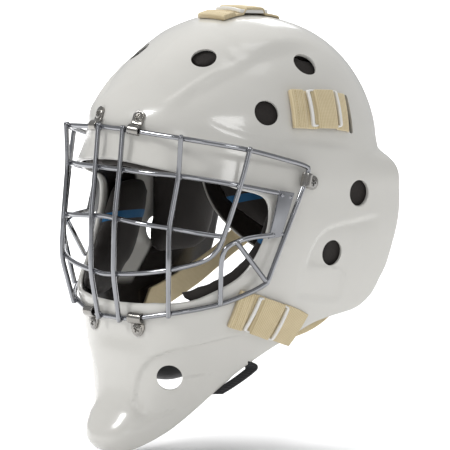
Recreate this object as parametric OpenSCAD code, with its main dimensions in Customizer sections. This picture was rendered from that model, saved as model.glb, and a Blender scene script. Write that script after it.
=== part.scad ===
// Ice hockey goalie mask: a moulded shell with a wire face cage, a hinged back plate on
// elastic straps, foam pads and a chin cup slung on two straps.
// Millimetres. The origin is the middle of the head cavity, 150 below the crown.
// +Z is up, the face looks along -Y and the wearer's left is +X.

/* [Shell] */
// Width of the shell across the ears
shell_w = 214; // [206:1:222]
// Reach of the shell in front of the ears
shell_reach = 141; // [138:1:144]
// Height of the crown above the origin
crown_h = 150; // [146:1:154]
// Thickness of the moulded shell
shell_t = 4; // [3:0.5:5]
// Height of the raised panel along the crown
ridge_h = 4; // [0:0.5:6]
// Diameter of each ventilation hole
vent_d = 20; // [14:1:24]

/* [Cage] */
// Diameter of the cage wire
wire_d = 4; // [3:0.5:5]
// Width of a cage clip
clip_w = 13; // [10:1:16]
// Diameter of a clip screw's head
screw_head_d = 9; // [7:0.5:10]
// Thickness of the flat plate at each side of the cage
side_plate_t = 1.6; // [1:0.2:3]

/* [Straps] */
// Width of the elastic webbing
strap_w = 31; // [25:1:34]
// Thickness of the elastic webbing
strap_t = 2; // [1.5:0.5:3]
// Length of a strap glide along the strap
glide_len = 24; // [20:1:30]

/* [Lining] */
// Thickness of the foam pads
pad_t = 13; // [8:1:16]
// Gap between the shell and a pad
pad_gap = 0.8; // [0.6:0.1:1.2]

/* [Back plate] */
// Thickness of the back plate
plate_t = 3.5; // [3:0.5:5]
// Half width of the back plate's dome
plate_half_w = 82; // [78:1:84]

/* [Chin cup] */
// Width of the chin cup
cup_w = 78; // [70:1:84]
// Diameter of each chin cup pivot
cup_pin_d = 6; // [5:0.5:8]

/* [Hidden] */

half_w = shell_w / 2;
wire_r = wire_d / 2;
eye = [0, -20, -20];          // every point of the shell is seen from here
dome_z = 20;                  // the dome starts at this height
rear_reach = 104;             // reach of the dome behind the ears
wing_gain = 1;                // how much further the wings below the dome reach back
bottom_z = -188;              // lowest section of the chin
brow_swell = 9;               // how far the brow swells forward
brow_z = 84;                  // height of the swell's middle
brow_span = 19;               // height over which the swell fades
nut_d = 8;

// Sections of the shell below the dome: height, share of the half width, share of the reach.
sections = [
    [-188, 0.28, 0.94], [-182, 0.38, 1.03], [-174, 0.44, 1.09], [-165, 0.50, 1.09],
    [-158, 0.54, 1.06], [-148, 0.60, 1.01], [-137, 0.65, 0.99], [-120, 0.72, 0.98],
    [-105, 0.79, 0.98], [-88, 0.87, 0.97], [-60, 0.95, 0.98], [-20, 1.00, 1.00], [20, 1.00, 1.00]
];

// Outer edge of the shell's left half, from the crown's rear round the wing to the chin.
outer_edge = [
    [0, 62, 138], [40, 70, 126], [68, 76, 100], [82, 74, 74], [90, 64, 53], [100, 67, 39],
    [106, 72, 23], [106, 71, 0], [104, 62, -27], [101, 52, -50], [98, 31, -75], [95, -8, -81],
    [91, -25, -87], [82, -51, -102], [73, -69, -117], [62, -86, -133], [47, -106, -154],
    [26, -130, -171], [0, -142, -179]
];

// Edge of the face opening's left half, from the brow round the cheek to the chin.
face_edge = [
    [0, -139, 47], [35, -134, 44], [65, -118, 38], [91, -91, 28], [100, -70, 20], [102, -66, 5],
    [99, -72, -18], [92, -86, -40], [76, -106, -54], [39, -134, -63], [0, -141, -66]
];

// Centres of the ventilation holes on the left half.
vents = [[38.5, -78.5, 125.5], [76.5, -6, 118], [88.5, -57.5, 84], [107, 24, 17], [106, -4, -28],
    [47, -121.5, -121]];

// Centre lines of the cage wires, left half.
top_bar = [
    [0, -138, 71], [15, -137, 71], [42, -132, 69], [66, -125, 67], [88, -108, 63],
    [101, -87, 58], [109, -60, 50], [111, -38, 43], [111, -35, 38], [111, -43, 21],
    [110, -59, -11], [106, -73, -45]
];
lower_rim = [
    [0, -139.8, -76], [14.3, -139.5, -76], [31.4, -137.2, -74], [59.5, -125.9, -68.4], [75.5, -112.4, -64.4],
    [87, -97.6, -59.8], [100, -81, -51], [106, -73, -45]
];
brow_bar = [
    [0, -141, 40], [16, -140, 40], [40, -136, 39], [63, -126, 38], [83, -111, 35], [98, -94, 31],
    [108, -60, 23]
];
nose_bar = [[0, -146, 3], [14, -145, 2], [39, -142, 0], [60, -133, -2], [78, -121, -5], [91.5, -106.5, -8]];
eye_wire = [
    [0, -147, -42], [14, -146, -41], [40, -142, -38], [62, -134, -34], [80, -120, -28],
    [89, -113, -21], [94, -108, -9], [101, -96.5, 31], [104, -89, 60]
];
// Screws that hold the cage clips, left half: brow, chin and side.
clip_at = [[23, -132, 81], [27, -140, -86.4], [106, -27, 29]];
// Point of the cage that each clip hooks.
wire_at = [[23, -136, 71], [27, -138, -74.5], [111, -37, 32]];

// Strap centre lines on the shell's left half, from the front end to the rear end.
crown_line = [[0, -36, 150], [0, -14, 150], [0, 8, 150], [0, 26, 147]];
upper_line = [[93, -37, 86], [96, -18, 84], [97, 2, 82], [97, 22, 79]];
lower_line = [[86, -90, -65], [91, -70, -71], [93, -46, -80], [92, -29, -87]];
crown_mid = [0, -4, 150];
upper_mid = [96, -7, 83];
lower_mid = [92, -63, -74];
lower_spin = 70;              // how the lower strap's glide turns with its strap

// Back plate: its centre, its reach backwards and its reach up and down.
plate_eye = [0, 0, 30];
plate_reach = 112;
plate_up = 112;
plate_down = 150;
hinge_at = [0, 60, 128];

cup_at = [0, -84, -100];      // middle of the chin cup's pivot line
bowl_at = cup_at + [0, 0, 8]; // centre of the cup's bowl
pin_x = 43;                   // where each pivot passes through its sling

white = "white";
cream = "#d8cdb0";
black = "#1c1c1e";
chrome = "silver";

// ---- numbers along tables -------------------------------------------------------------

function smooth(a, b, x) = let (t = max(0, min(1, (x - a) / (b - a)))) t * t * (3 - 2 * t);

function place(table, x, i = 0) =
    i >= len(table) - 2 || x < table[i + 1][0] ? i : place(table, x, i + 1);

function slope(table, c, i) =
    i == 0 || i == len(table) - 1 ? 0
    : (table[i + 1][c] - table[i - 1][c]) / (table[i + 1][0] - table[i - 1][0]);

// Column c of a table at x, by a cubic through its rows that lies flat at both ends.
function along(table, c, x) =
    let (i = place(table, x), a = table[i], b = table[i + 1], h = b[0] - a[0],
         t = max(0, min(1, (x - a[0]) / h)), s = t * t * (3 - 2 * t))
    a[c] + (b[c] - a[c]) * s
    + h * t * (1 - t) * (slope(table, c, i) * (1 - t) - slope(table, c, i + 1) * t);

// A smooth run of points through a list, n steps to each gap.
function point_at(p, i, t) =
    let (a = p[max(i - 1, 0)], b = p[i], c = p[i + 1], d = p[min(i + 2, len(p) - 1)])
    (2 * b + (c - a) * t + (2 * a - 5 * b + 4 * c - d) * t * t
     + (3 * b - a - 3 * c + d) * t * t * t) / 2;
function smooth_run(p, n) =
    concat([for (i = [0 : len(p) - 2], k = [0 : n - 1]) point_at(p, i, k / n)], [p[len(p) - 1]]);

function unit(v) = v / norm(v);

// The point of a bar at x, and the centre of a wire welded across its outer side there.
function on_bar(points, x) =
    let (run = smooth_run(points, 2), i = place(run, x), a = run[i], b = run[i + 1])
    a + (b - a) * (x - a[0]) / (b[0] - a[0]);
function weld(points, x) =
    let (p = on_bar(points, x)) p + unit([p[0], p[1] - eye[1], 0]) * wire_d * 0.88;

center_wire = [
    weld(top_bar, 14), weld(brow_bar, 14), weld(nose_bar, 13.5), weld(eye_wire, 13), weld(lower_rim, 12)
];
side_wire = [
    weld(top_bar, 66), weld(brow_bar, 64), weld(nose_bar, 61), weld(eye_wire, 62), weld(lower_rim, 55)
];
cheek_wire = [
    weld(lower_rim, 84), [93, -109, -26], [96.5, -107.5, -15], [103, -92, -9], [108.5, -70, -8]
];
brace_wire = [[101, -100, -12], [107, -76, -43]];
function flip(p) = [-p[0], p[1], p[2]];
function flips(points) = [for (p = points) flip(p)];
function both(half) =
    concat([for (i = [len(half) - 1 : -1 : 1]) flip(half[i])], half);

// ---- the shell's outer surface --------------------------------------------------------

function dome(z, power) =
    let (k = max(0, min(1, (z - dome_z) / (crown_h - dome_z)))) pow(1 - pow(k, power), 1 / power);

function width_at(z) = half_w * (z > dome_z ? dome(z, 2.25) : along(sections, 1, z));

function front_at(z) =
    shell_reach * (z > dome_z ? dome(z, 2) : along(sections, 2, z))
    + brow_swell * exp(-pow((z - brow_z) / brow_span, 2));

function rear_at(z) =
    rear_reach * (z > dome_z ? dome(z, 2.25) : 1) * (1 + wing_gain * (1 - smooth(28, 50, z)));

// Below 1 inside the shell's outer surface and above 1 outside it.
function depth_of(p) =
    p[2] >= crown_h || p[2] < bottom_z - 1 ? 9
    : let (n = 2.15 + 0.45 * (1 - smooth(20, 60, p[2])),
           reach = p[1] < 0 ? front_at(p[2]) : rear_at(p[2]))
      pow(abs(p[0]) / width_at(p[2]), n) + pow(abs(p[1]) / reach, n);

function hit(d, lo = 40, hi = 300, n = 15) =
    n == 0 ? (lo + hi) / 2
    : let (m = (lo + hi) / 2) depth_of(eye + d * m) < 1 ? hit(d, m, hi, n - 1) : hit(d, lo, m, n - 1);

// A direction from the eye: tilt away from the face, turn from the crown round to the left.
function toward(tilt, turn) = [sin(tilt) * sin(turn), -cos(tilt), sin(tilt) * cos(turn)];
function tilt_of(p) = acos((eye[1] - p[1]) / norm(p - eye));
function turn_of(p) = atan2(p[0] - eye[0], p[2] - eye[2]);

// The raised panel between two creases that run back over the crown.
function ridge(tilt, turn) =
    ridge_h * (1 - smooth(19, 27, abs(turn))) * smooth(44, 60, tilt) * (1 - smooth(88, 108, tilt));

function skin(tilt, turn) =
    let (d = toward(tilt, turn)) eye + d * (hit(d) + ridge(tilt, turn));

function skin_normal(tilt, turn) =
    unit(cross(skin(tilt, turn + 1) - skin(tilt, turn - 1), skin(tilt + 1, turn) - skin(tilt - 1, turn)));

// The surface point that the eye sees behind p, and how far each side of it lies.
function on_skin(p, lift = 0) =
    let (a = tilt_of(p), b = turn_of(p)) skin(a, b) + skin_normal(a, b) * lift;
function normal_at(p) = skin_normal(tilt_of(p), turn_of(p));

function edge_table(points) = [for (p = points) [turn_of(p), tilt_of(p)]];

// ---- solids from grids of points ------------------------------------------------------

// Four corners as two triangles.
function quad(a, b, c, d) = [[a, b, c], [a, c, d]];

// A closed plate between two grids of rows; the rows join up into a ring when ring is true.
module plate(outer, inner, ring = false) {
    rows = len(outer);
    cols = len(outer[0]);
    total = rows * cols;
    last = ring ? cols - 1 : cols - 2;
    points = concat([for (r = outer, p = r) p], [for (r = inner, p = r) p]);
    function at(i, j) = i * cols + j % cols;
    i0 = floor((rows - 1) / 2);
    j0 = floor((cols - 1) / 2);
    corner = outer[i0][j0];
    inward = cross(outer[i0][j0 + 1] - corner, outer[i0 + 1][j0] - corner) * (corner - inner[i0][j0]) < 0;
    faces = concat(
        [for (i = [0 : rows - 2], j = [0 : last]) each
            quad(at(i, j), at(i, j + 1), at(i + 1, j + 1), at(i + 1, j))],
        [for (i = [0 : rows - 2], j = [0 : last]) each
            quad(total + at(i, j), total + at(i + 1, j), total + at(i + 1, j + 1), total + at(i, j + 1))],
        [for (j = [0 : last]) each quad(at(0, j), total + at(0, j), total + at(0, j + 1), at(0, j + 1))],
        [for (j = [0 : last]) each quad(at(rows - 1, j), at(rows - 1, j + 1),
            total + at(rows - 1, j + 1), total + at(rows - 1, j))],
        ring ? [] : [for (i = [0 : rows - 2]) each
            quad(at(i, 0), at(i + 1, 0), total + at(i + 1, 0), total + at(i, 0))],
        ring ? [] : [for (i = [0 : rows - 2]) each
            quad(at(i, cols - 1), total + at(i, cols - 1), total + at(i + 1, cols - 1), at(i + 1, cols - 1))]);
    polyhedron(points, inward ? faces : [for (f = faces) [f[2], f[1], f[0]]]);
}

// A round bar along a run of points.
module bar(path, r, sides = 8) {
    n = len(path);
    function step(i) = unit(path[min(i + 1, n - 1)] - path[max(i - 1, 0)]);
    function side(i) = unit(cross(step(i), path[i] - eye));
    function ring(i) = [for (k = [0 : sides - 1]) let (a = 360 * k / sides)
        path[i] + r * (cos(a) * side(i) + sin(a) * cross(step(i), side(i)))];
    polyhedron([for (i = [0 : n - 1], p = ring(i)) p], concat(
        [[for (k = [0 : sides - 1]) k]],
        [[for (k = [sides - 1 : -1 : 0]) (n - 1) * sides + k]],
        [for (i = [0 : n - 2], k = [0 : sides - 1]) each quad(i * sides + k, (i + 1) * sides + k,
            (i + 1) * sides + (k + 1) % sides, i * sides + (k + 1) % sides)]));
}

// A cage wire through listed points.
module wire(points, n = 2) bar(smooth_run(points, n), wire_r);

// Children stand on the surface at p, with +Z along the surface normal.
module on_shell(p, lift = 0) {
    n = normal_at(p);
    q = on_skin(p, lift);
    translate(q) rotate([0, acos(n[2]), atan2(n[1], n[0])]) children();
}

// Webbing that lies on the shell along a line, lift above it.
module laid_strap(line, lift, thick, width, n = 3, across = 4) {
    path = smooth_run(line, n);
    last = len(path) - 1;
    function step(i) = unit(path[min(i + 1, last)] - path[max(i - 1, 0)]);
    function side(i) = unit(cross(step(i), normal_at(path[i])));
    function row(i, h) = [for (k = [0 : across])
        on_skin(path[i] + side(i) * width * (k / across - 0.5), h)];
    plate([for (i = [0 : last]) row(i, lift + thick)], [for (i = [0 : last]) row(i, lift)]);
}

// Webbing that hangs free between listed points; each has its own across direction.
module free_strap(points, sides, thick, width, n = 3) {
    path = smooth_run(points, n);
    across = smooth_run(sides, n);
    last = len(path) - 1;
    function step(i) = unit(path[min(i + 1, last)] - path[max(i - 1, 0)]);
    function face(i) = unit(cross(step(i), across[i]));
    function row(i, h) = [for (k = [-1, 1]) path[i] + unit(across[i]) * k * width / 2 + face(i) * h];
    plate([for (i = [0 : last]) row(i, thick / 2)], [for (i = [0 : last]) row(i, -thick / 2)]);
}

// A pad on the shell's inner face, over a span of tilt and turn, thinner toward its rim.
// A pad that follows an edge counts its tilts from the face opening's edge or from the shell's rear edge.
// A lean slides the pad's front edge forward toward its lower end.
module pad(tilts, turns, thick = pad_t, n = 6, follow = "", lean = 0, gap = pad_gap) {
    depth = shell_t + gap;
    edge = edge_table(follow == "rear" ? outer_edge : face_edge);
    function tilt(u) = (tilts[0] + tilts[1]) / 2 + u * (tilts[1] - tilts[0]) / 2;
    function turn(v) = (turns[0] + turns[1]) / 2 + v * (turns[1] - turns[0]) / 2;
    function row(u, thick) = [for (j = [0 : n]) let (v = 2 * j / n - 1,
        b = turn(v * (1 - 0.12 * pow(abs(u), 4))),
        a = tilt(u * (1 - 0.12 * pow(abs(v), 4))) + (follow == "" ? 0 : along(edge, 1, abs(b)))
            - lean * v * sign(turns[0]) * (1 - u) / 2,
        body = 1 - 0.35 * pow(max(abs(u), abs(v)), 6))
        skin(a, b) - skin_normal(a, b) * (depth + (thick > 0 ? thick * body : 0))];
    plate([for (i = [0 : n]) row(2 * i / n - 1, 0)], [for (i = [0 : n]) row(2 * i / n - 1, thick)]);
}

// ---- shell ----------------------------------------------------------------------------

function turns_of(table, gap) = [for (i = [0 : len(table) - 2])
    let (n = ceil((table[i + 1][0] - table[i][0]) / gap))
    each [for (k = [0 : n - 1]) table[i][0] + (table[i + 1][0] - table[i][0]) * k / n]];

module shell_body(rows = 16) {
    outer = edge_table(outer_edge);
    face = edge_table(face_edge);
    half = turns_of(outer, 5);
    turns = concat(half, [180], [for (i = [len(half) - 1 : -1 : 1]) -half[i]]);
    count = len(turns);
    grid = [for (i = [0 : rows]) [for (t = turns)
        let (a = along(face, 1, abs(t)), b = along(outer, 1, abs(t)))
        skin(a + (b - a) * i / rows, t)]];
    function normal(i, j) = unit(cross(grid[i][(j + 1) % count] - grid[i][(j + count - 1) % count],
        grid[min(i + 1, rows)][j] - grid[max(i - 1, 0)][j]));
    inside = [for (i = [0 : rows]) [for (j = [0 : count - 1]) grid[i][j] - shell_t * normal(i, j)]];
    plate(grid, inside, ring = true);
}

module shell() {
    color(white) difference() {
        shell_body();
        for (v = vents, p = [v, flip(v)]) on_shell(p) cylinder(d = vent_d, h = 30, center = true, $fn = 32);
    }
}

// ---- cage -----------------------------------------------------------------------------

module cage_top_bar() color(chrome) wire(both(top_bar));
module cage_lower_rim() color(chrome) wire(both(lower_rim));
module cage_brow_bar() color(chrome) wire(both(brow_bar));
module cage_nose_bar() color(chrome) wire(both(nose_bar));
module cage_eye_wire() color(chrome) wire(both(eye_wire));
module cage_center_wire_left() color(chrome) wire(center_wire, 3);
module cage_center_wire_right() color(chrome) wire(flips(center_wire), 3);
module cage_side_wire_left() color(chrome) wire(side_wire, 3);
module cage_side_wire_right() color(chrome) wire(flips(side_wire), 3);
module cage_cheek_wire_left() color(chrome) wire(cheek_wire, 3);
module cage_cheek_wire_right() color(chrome) wire(flips(cheek_wire), 3);
module cage_brace_left() color(chrome) wire(brace_wire, 4);
module cage_brace_right() color(chrome) wire(flips(brace_wire), 4);

// Flat plate that ties the brow bar, the cheek wire and the rear upright.
module side_plate() {
    front = [[107.6, -63, 24], [107.8, -68, 8], [107, -74, -9]];
    rear = [[109.6, -49, 21], [109.2, -55, 8], [108.6, -62, -8]];
    out = [side_plate_t, 0, 0];
    plate([for (i = [0 : 2]) [rear[i] + out, front[i] + out]], [for (i = [0 : 2]) [rear[i], front[i]]]);
}
module cage_side_plate_left() color(chrome) side_plate();
module cage_side_plate_right() color(chrome) mirror([1, 0, 0]) side_plate();

// ---- clips and screws -----------------------------------------------------------------

// A bent strip that lies on the shell under its screw and hooks round the wire.
module clip(k) {
    p = clip_at[k];
    w = wire_at[k];
    n = normal_at(p);
    down = unit((w - p) - n * ((w - p) * n));
    side = unit(cross(down, n)) * clip_w / 2;
    base = on_skin(p, 0.4);
    hook = (w - base) * down;
    rise = (w - base) * n;
    run = [[-6, 0], [0, 0], [hook - 5, 0], [hook - 3.4, rise + 1], [hook - 1, rise + 3.2],
           [hook + 2, rise + 2.8], [hook + 3.4, rise]];
    function spot(q, h) = base + down * q[0] + n * (q[1] + h);
    plate([for (q = run) [spot(q, 1.2) + side, spot(q, 1.2) - side]],
          [for (q = run) [spot(q, 0) + side, spot(q, 0) - side]]);
}
module brow_clip_left() color(chrome) clip(0);
module brow_clip_right() color(chrome) mirror([1, 0, 0]) clip(0);
module chin_clip_left() color(chrome) clip(1);
module chin_clip_right() color(chrome) mirror([1, 0, 0]) clip(1);
module side_clip_left() color(chrome) clip(2);
module side_clip_right() color(chrome) mirror([1, 0, 0]) clip(2);

module screw() {
    difference() {
        intersection() {
            translate([0, 0, 1.6]) cylinder(d = screw_head_d, h = 2.6, $fn = 32);
            translate([0, 0, -2.4]) sphere(d = 13, $fn = 48);
        }
        for (a = [0, 90]) rotate([0, 0, a]) translate([0, 0, 4.3]) cube([5, 1, 2.2], center = true);
    }
}
module clip_screws() color(chrome) for (p = clip_at, q = [p, flip(p)]) on_shell(q) screw();
module clip_nuts() {
    color(chrome) for (p = clip_at, q = [p, flip(p)]) on_shell(q, -shell_t - 4.4)
        cylinder(d = nut_d, h = 3, $fn = 6);
}

// ---- straps ---------------------------------------------------------------------------

strap_lift = 0.4;
module laid(line) color(cream) laid_strap(line, strap_lift, strap_t, strap_w);
module crown_strap() laid(crown_line);
module upper_strap_left() laid(upper_line);
module upper_strap_right() color(cream) mirror([1, 0, 0]) laid(upper_line);
module lower_strap_left() laid(lower_line);
module lower_strap_right() color(cream) mirror([1, 0, 0]) laid(lower_line);

// A slide frame that stands on its strap: two rails and two end bars, at a turn on the surface.
module glide(p, spin) {
    lift = strap_lift + strap_t + 0.4;
    end = strap_w / 2 + 1;
    on_shell(p, lift) rotate([0, 0, spin]) difference() {
        translate([0, 0, 1.6]) cube([glide_len + 6, 2 * end + 3, 3.2], center = true);
        translate([0, 0, 1]) cube([glide_len, 2 * end - 3, 6], center = true);
    }
}
module crown_glide() color(white) glide(crown_mid, 90);
module upper_glide_left() color(white) glide(upper_mid, 90);
module upper_glide_right() color(white) mirror([1, 0, 0]) glide(upper_mid, 90);
module lower_glide_left() color(white) glide(lower_mid, lower_spin);
module lower_glide_right() color(white) mirror([1, 0, 0]) glide(lower_mid, lower_spin);

// Elastic that bridges from the shell to the back plate.
module crown_strap_link() {
    color(cream) free_strap([[0, 27, 139], [0, 40, 134], [0, 52, 127.5], [0, 61, 124.8], [0, 71, 118.5],
        [0, 79.5, 110.5]],
        [for (i = [0 : 5]) [1, 0, 0]], strap_t, strap_w - 6);
}
module upper_link() {
    free_strap([[88, 20, 77], [85, 33, 72.5], [79, 46, 67], [71.4, 58.5, 60.6], [66.3, 65.4, 55.1]],
        [[-0.3, 0, 1], [-0.25, 0, 1], [-0.2, 0, 1], [-0.2, 0, 1], [-0.3, 0, 1]], strap_t, strap_w - 6);
}
module upper_strap_link_left() color(cream) upper_link();
module upper_strap_link_right() color(cream) mirror([1, 0, 0]) upper_link();
module lower_link() {
    free_strap([[95, -18, -98], [92, 0, -92], [88, 20, -82], [80, 41, -61], [69, 58, -38], [60.4, 68.2, -25.3]],
        [[0, 0.5, 1], [0, 0.3, 1], [0, 0.3, 1], [0, 0.3, 1], [0, 0.2, 1], [0, 0.2, 1]],
        strap_t, strap_w - 6);
}
module lower_strap_link_left() color(cream) lower_link();
module lower_strap_link_right() color(cream) mirror([1, 0, 0]) lower_link();

// Rivets that hold the front end of each strap.
module strap_rivets() {
    heads = [crown_line[0] + [0, 6, 0], upper_line[0] + [0, 6, 0], lower_line[0] + [1, 6, 0]];
    color(chrome) for (p = [heads[0], heads[1], flip(heads[1]), heads[2], flip(heads[2])])
        on_shell(p, strap_lift + strap_t + 0.3) cylinder(d = 8, h = 1.4, $fn = 24);
}

// ---- lining ---------------------------------------------------------------------------

module brow_pad() color(black) pad([-2, 9.2], [-52, 52], n = 10, follow = "face", gap = 2 * pad_gap);
module crown_pad() color(black) pad([64, 104], [-20, 20]);
module dome_pad_left() color(black) pad([62, 104], [24, 56]);
module dome_pad_right() color(black) pad([62, 104], [-56, -24]);
module cheek_pad_left() color(black) pad([-4, 26], [70, 124], n = 8, follow = "face", lean = 4);
module cheek_pad_right() color(black) pad([-4, 26], [-124, -70], n = 8, follow = "face", lean = 4);
module ear_pad_left() color(black) pad([-36, -4], [60, 106], follow = "rear");
module ear_pad_right() color(black) pad([-36, -4], [-106, -60], follow = "rear");

// ---- back plate -----------------------------------------------------------------------

// A direction from the plate's centre: swing from straight back to the left, climb upward.
function plate_skin(swing, climb, deep) =
    let (d = [sin(swing) * cos(climb), cos(swing) * cos(climb), sin(climb)],
         tall = climb > 0 ? plate_up : plate_down)
    plate_eye + d * (1 / norm([d[0] / plate_half_w, d[1] / plate_reach, d[2] / tall]) - deep);

// The plate's outline is a squared oval in swing and climb, taller above than below.
module plate_cap(span, up, down, deep, thick, rings = 6, sides = 28) {
    function square(v) = sign(v) * pow(abs(v), 2 / 2.6);
    function spot(i, j, h) = let (a = 360 * j / sides, r = i / rings)
        plate_skin(span * r * square(cos(a)), (sin(a) > 0 ? up : down) * r * square(sin(a)), h);
    outer = [for (i = [1 : rings]) [for (j = [0 : sides - 1]) spot(i, j, deep)]];
    inner = [for (i = [1 : rings]) [for (j = [0 : sides - 1]) spot(i, j, deep + thick)]];
    points = concat([spot(0, 0, deep), spot(0, 0, deep + thick)],
        [for (r = outer, p = r) p], [for (r = inner, p = r) p]);
    total = rings * sides;
    function at(i, j, in) = 2 + (in ? total : 0) + i * sides + j % sides;
    polyhedron(points, concat(
        [for (j = [0 : sides - 1]) [0, at(0, j, false), at(0, j + 1, false)]],
        [for (j = [0 : sides - 1]) [1, at(0, j + 1, true), at(0, j, true)]],
        [for (i = [0 : rings - 2], j = [0 : sides - 1]) each quad(at(i, j, false), at(i + 1, j, false),
            at(i + 1, j + 1, false), at(i, j + 1, false))],
        [for (i = [0 : rings - 2], j = [0 : sides - 1]) each quad(at(i, j, true), at(i, j + 1, true),
            at(i + 1, j + 1, true), at(i + 1, j, true))],
        [for (j = [0 : sides - 1]) each quad(at(rings - 1, j, false), at(rings - 1, j, true),
            at(rings - 1, j + 1, true), at(rings - 1, j + 1, false))]));
}

module back_plate() color(white) plate_cap(74, 55, 47, 0, plate_t);
module back_plate_pad() color(black) plate_cap(68, 42, 41, plate_t + 1, pad_t - 3);

// Rivets that hold the strap ends on the back plate.
module back_plate_rivets() {
    function out(p) = unit(p - plate_eye);
    function plate_spot(p) = plate_eye + out(p) / norm([out(p)[0] / plate_half_w, out(p)[1] / plate_reach,
        out(p)[2] / (out(p)[2] > 0 ? plate_up : plate_down)]);
    marks = [[0, 90, 100], [62, 70, 52], [-62, 70, 52], [58, 74, -24], [-58, 74, -24]];
    color(chrome) for (p = marks) translate(plate_spot(p) + 1.1 * out(p))
        rotate([0, acos(out(p)[2]), atan2(out(p)[1], out(p)[0])]) cylinder(d = 8, h = 1.2, $fn = 24);
}

// ---- chin cup -------------------------------------------------------------------------

// Webbing from the jaw down to a flat tab with a bore for the cup's pivot.
module sling() {
    difference() {
        union() {
            translate([pin_x - 1, cup_at[1], cup_at[2]]) rotate([0, 90, 0]) cylinder(d = 18, h = 2.4, $fn = 48);
            translate([pin_x - 1, cup_at[1] - 7, cup_at[2] - 0.5]) cube([2.4, 14, 20]);
        }
        translate([pin_x - 3, cup_at[1], cup_at[2]]) rotate([0, 90, 0])
            cylinder(d = cup_pin_d + 0.6, h = 8, $fn = 48);
    }
    free_strap([[pin_x + 0.2, -84, -81], [pin_x + 6, -83, -79], [60, -80, -84], [68.5, -76, -94],
        [70.2, -72, -103.5]],
        [[0, 1, 0], [0, 1, 0], [0.1, 1, -0.2], [0.3, 1, -0.5], [0.5, 1, -0.7]], 2.4, 14);
}
module chin_sling_left() color(black) sling();
module chin_sling_right() color(black) mirror([1, 0, 0]) sling();

// An open bowl under the chin with a pivot at each side.
module bowl(outer, inner, length, height) {
    difference() {
        translate(bowl_at) intersection() {
            sphere(r = outer, $fn = 64);
            translate([-outer - 1, -length / 2, -outer - 1]) cube([2 * outer + 2, length, height + outer]);
        }
        translate(bowl_at) sphere(r = inner, $fn = 64);
    }
}
module chin_cup() {
    color(black) {
        bowl(cup_w / 2, cup_w / 2 - 3, 58, 3);
        for (s = [-1, 1]) translate([s * (pin_x + 0.7), cup_at[1], cup_at[2]]) rotate([0, 90, 0])
            cylinder(d = cup_pin_d, h = 12, center = true, $fn = 48);
    }
}
module chin_cup_pad() {
    outer = cup_w / 2 - 3.3;
    color("#2a2a2c") bowl(outer, outer - 6, 52, 1);
}

shell();
cage_top_bar();
cage_lower_rim();
cage_brow_bar();
cage_nose_bar();
cage_eye_wire();
cage_center_wire_left();
cage_center_wire_right();
cage_side_wire_left();
cage_side_wire_right();
cage_cheek_wire_left();
cage_cheek_wire_right();
cage_brace_left();
cage_brace_right();
cage_side_plate_left();
cage_side_plate_right();
brow_clip_left();
brow_clip_right();
chin_clip_left();
chin_clip_right();
side_clip_left();
side_clip_right();
clip_screws();
clip_nuts();
crown_strap();
upper_strap_left();
upper_strap_right();
lower_strap_left();
lower_strap_right();
crown_glide();
upper_glide_left();
upper_glide_right();
lower_glide_left();
lower_glide_right();
crown_strap_link();
upper_strap_link_left();
upper_strap_link_right();
lower_strap_link_left();
lower_strap_link_right();
strap_rivets();
brow_pad();
crown_pad();
dome_pad_left();
dome_pad_right();
cheek_pad_left();
cheek_pad_right();
ear_pad_left();
ear_pad_right();
back_plate();
back_plate_pad();
back_plate_rivets();
chin_sling_left();
chin_sling_right();
chin_cup();
chin_cup_pad();
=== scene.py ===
"""Visual model of an ice hockey goalie mask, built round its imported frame."""
import logging
import math
from dataclasses import dataclass, field
from enum import Enum

import bmesh
import bpy
import numpy as np
from mathutils import Matrix, Vector


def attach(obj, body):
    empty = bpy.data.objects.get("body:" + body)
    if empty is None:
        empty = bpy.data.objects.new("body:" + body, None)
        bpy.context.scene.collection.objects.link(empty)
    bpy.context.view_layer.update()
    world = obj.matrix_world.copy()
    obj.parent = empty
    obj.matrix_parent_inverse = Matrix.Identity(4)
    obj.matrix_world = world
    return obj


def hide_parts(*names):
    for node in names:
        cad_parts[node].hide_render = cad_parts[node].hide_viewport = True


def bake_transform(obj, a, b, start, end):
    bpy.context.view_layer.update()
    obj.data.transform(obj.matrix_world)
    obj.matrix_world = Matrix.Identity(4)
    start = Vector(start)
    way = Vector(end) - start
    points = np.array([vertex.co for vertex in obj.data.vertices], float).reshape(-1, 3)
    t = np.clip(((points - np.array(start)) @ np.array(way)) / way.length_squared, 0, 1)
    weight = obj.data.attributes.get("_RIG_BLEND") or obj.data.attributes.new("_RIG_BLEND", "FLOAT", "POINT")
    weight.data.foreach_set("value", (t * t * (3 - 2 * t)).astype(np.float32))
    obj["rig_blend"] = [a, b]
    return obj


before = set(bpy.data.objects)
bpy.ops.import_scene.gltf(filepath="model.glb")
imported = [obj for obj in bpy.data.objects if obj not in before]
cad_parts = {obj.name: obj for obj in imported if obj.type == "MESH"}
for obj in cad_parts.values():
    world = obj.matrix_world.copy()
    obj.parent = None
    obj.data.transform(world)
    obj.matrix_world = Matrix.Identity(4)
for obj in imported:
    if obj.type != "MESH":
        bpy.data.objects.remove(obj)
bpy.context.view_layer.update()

MM = 0.001
LOG = logging.getLogger("mask")

Point = tuple[float, float, float]
Faces = list[tuple[int, ...]]


class Body(str, Enum):
    """The CAD bodies that pieces ride on."""

    MASK = "mask"
    BACK_PLATE = "back_plate"
    CHIN_CUP = "chin_cup"


class Side(Enum):
    """Which half of the mask a piece is on; the value is the sign of X."""

    LEFT = 1
    RIGHT = -1

    @property
    def word(self) -> str:
        """The side's name as node names spell it."""
        return self.name.lower()


# ---- numbers ---------------------------------------------------------------------------


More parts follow.
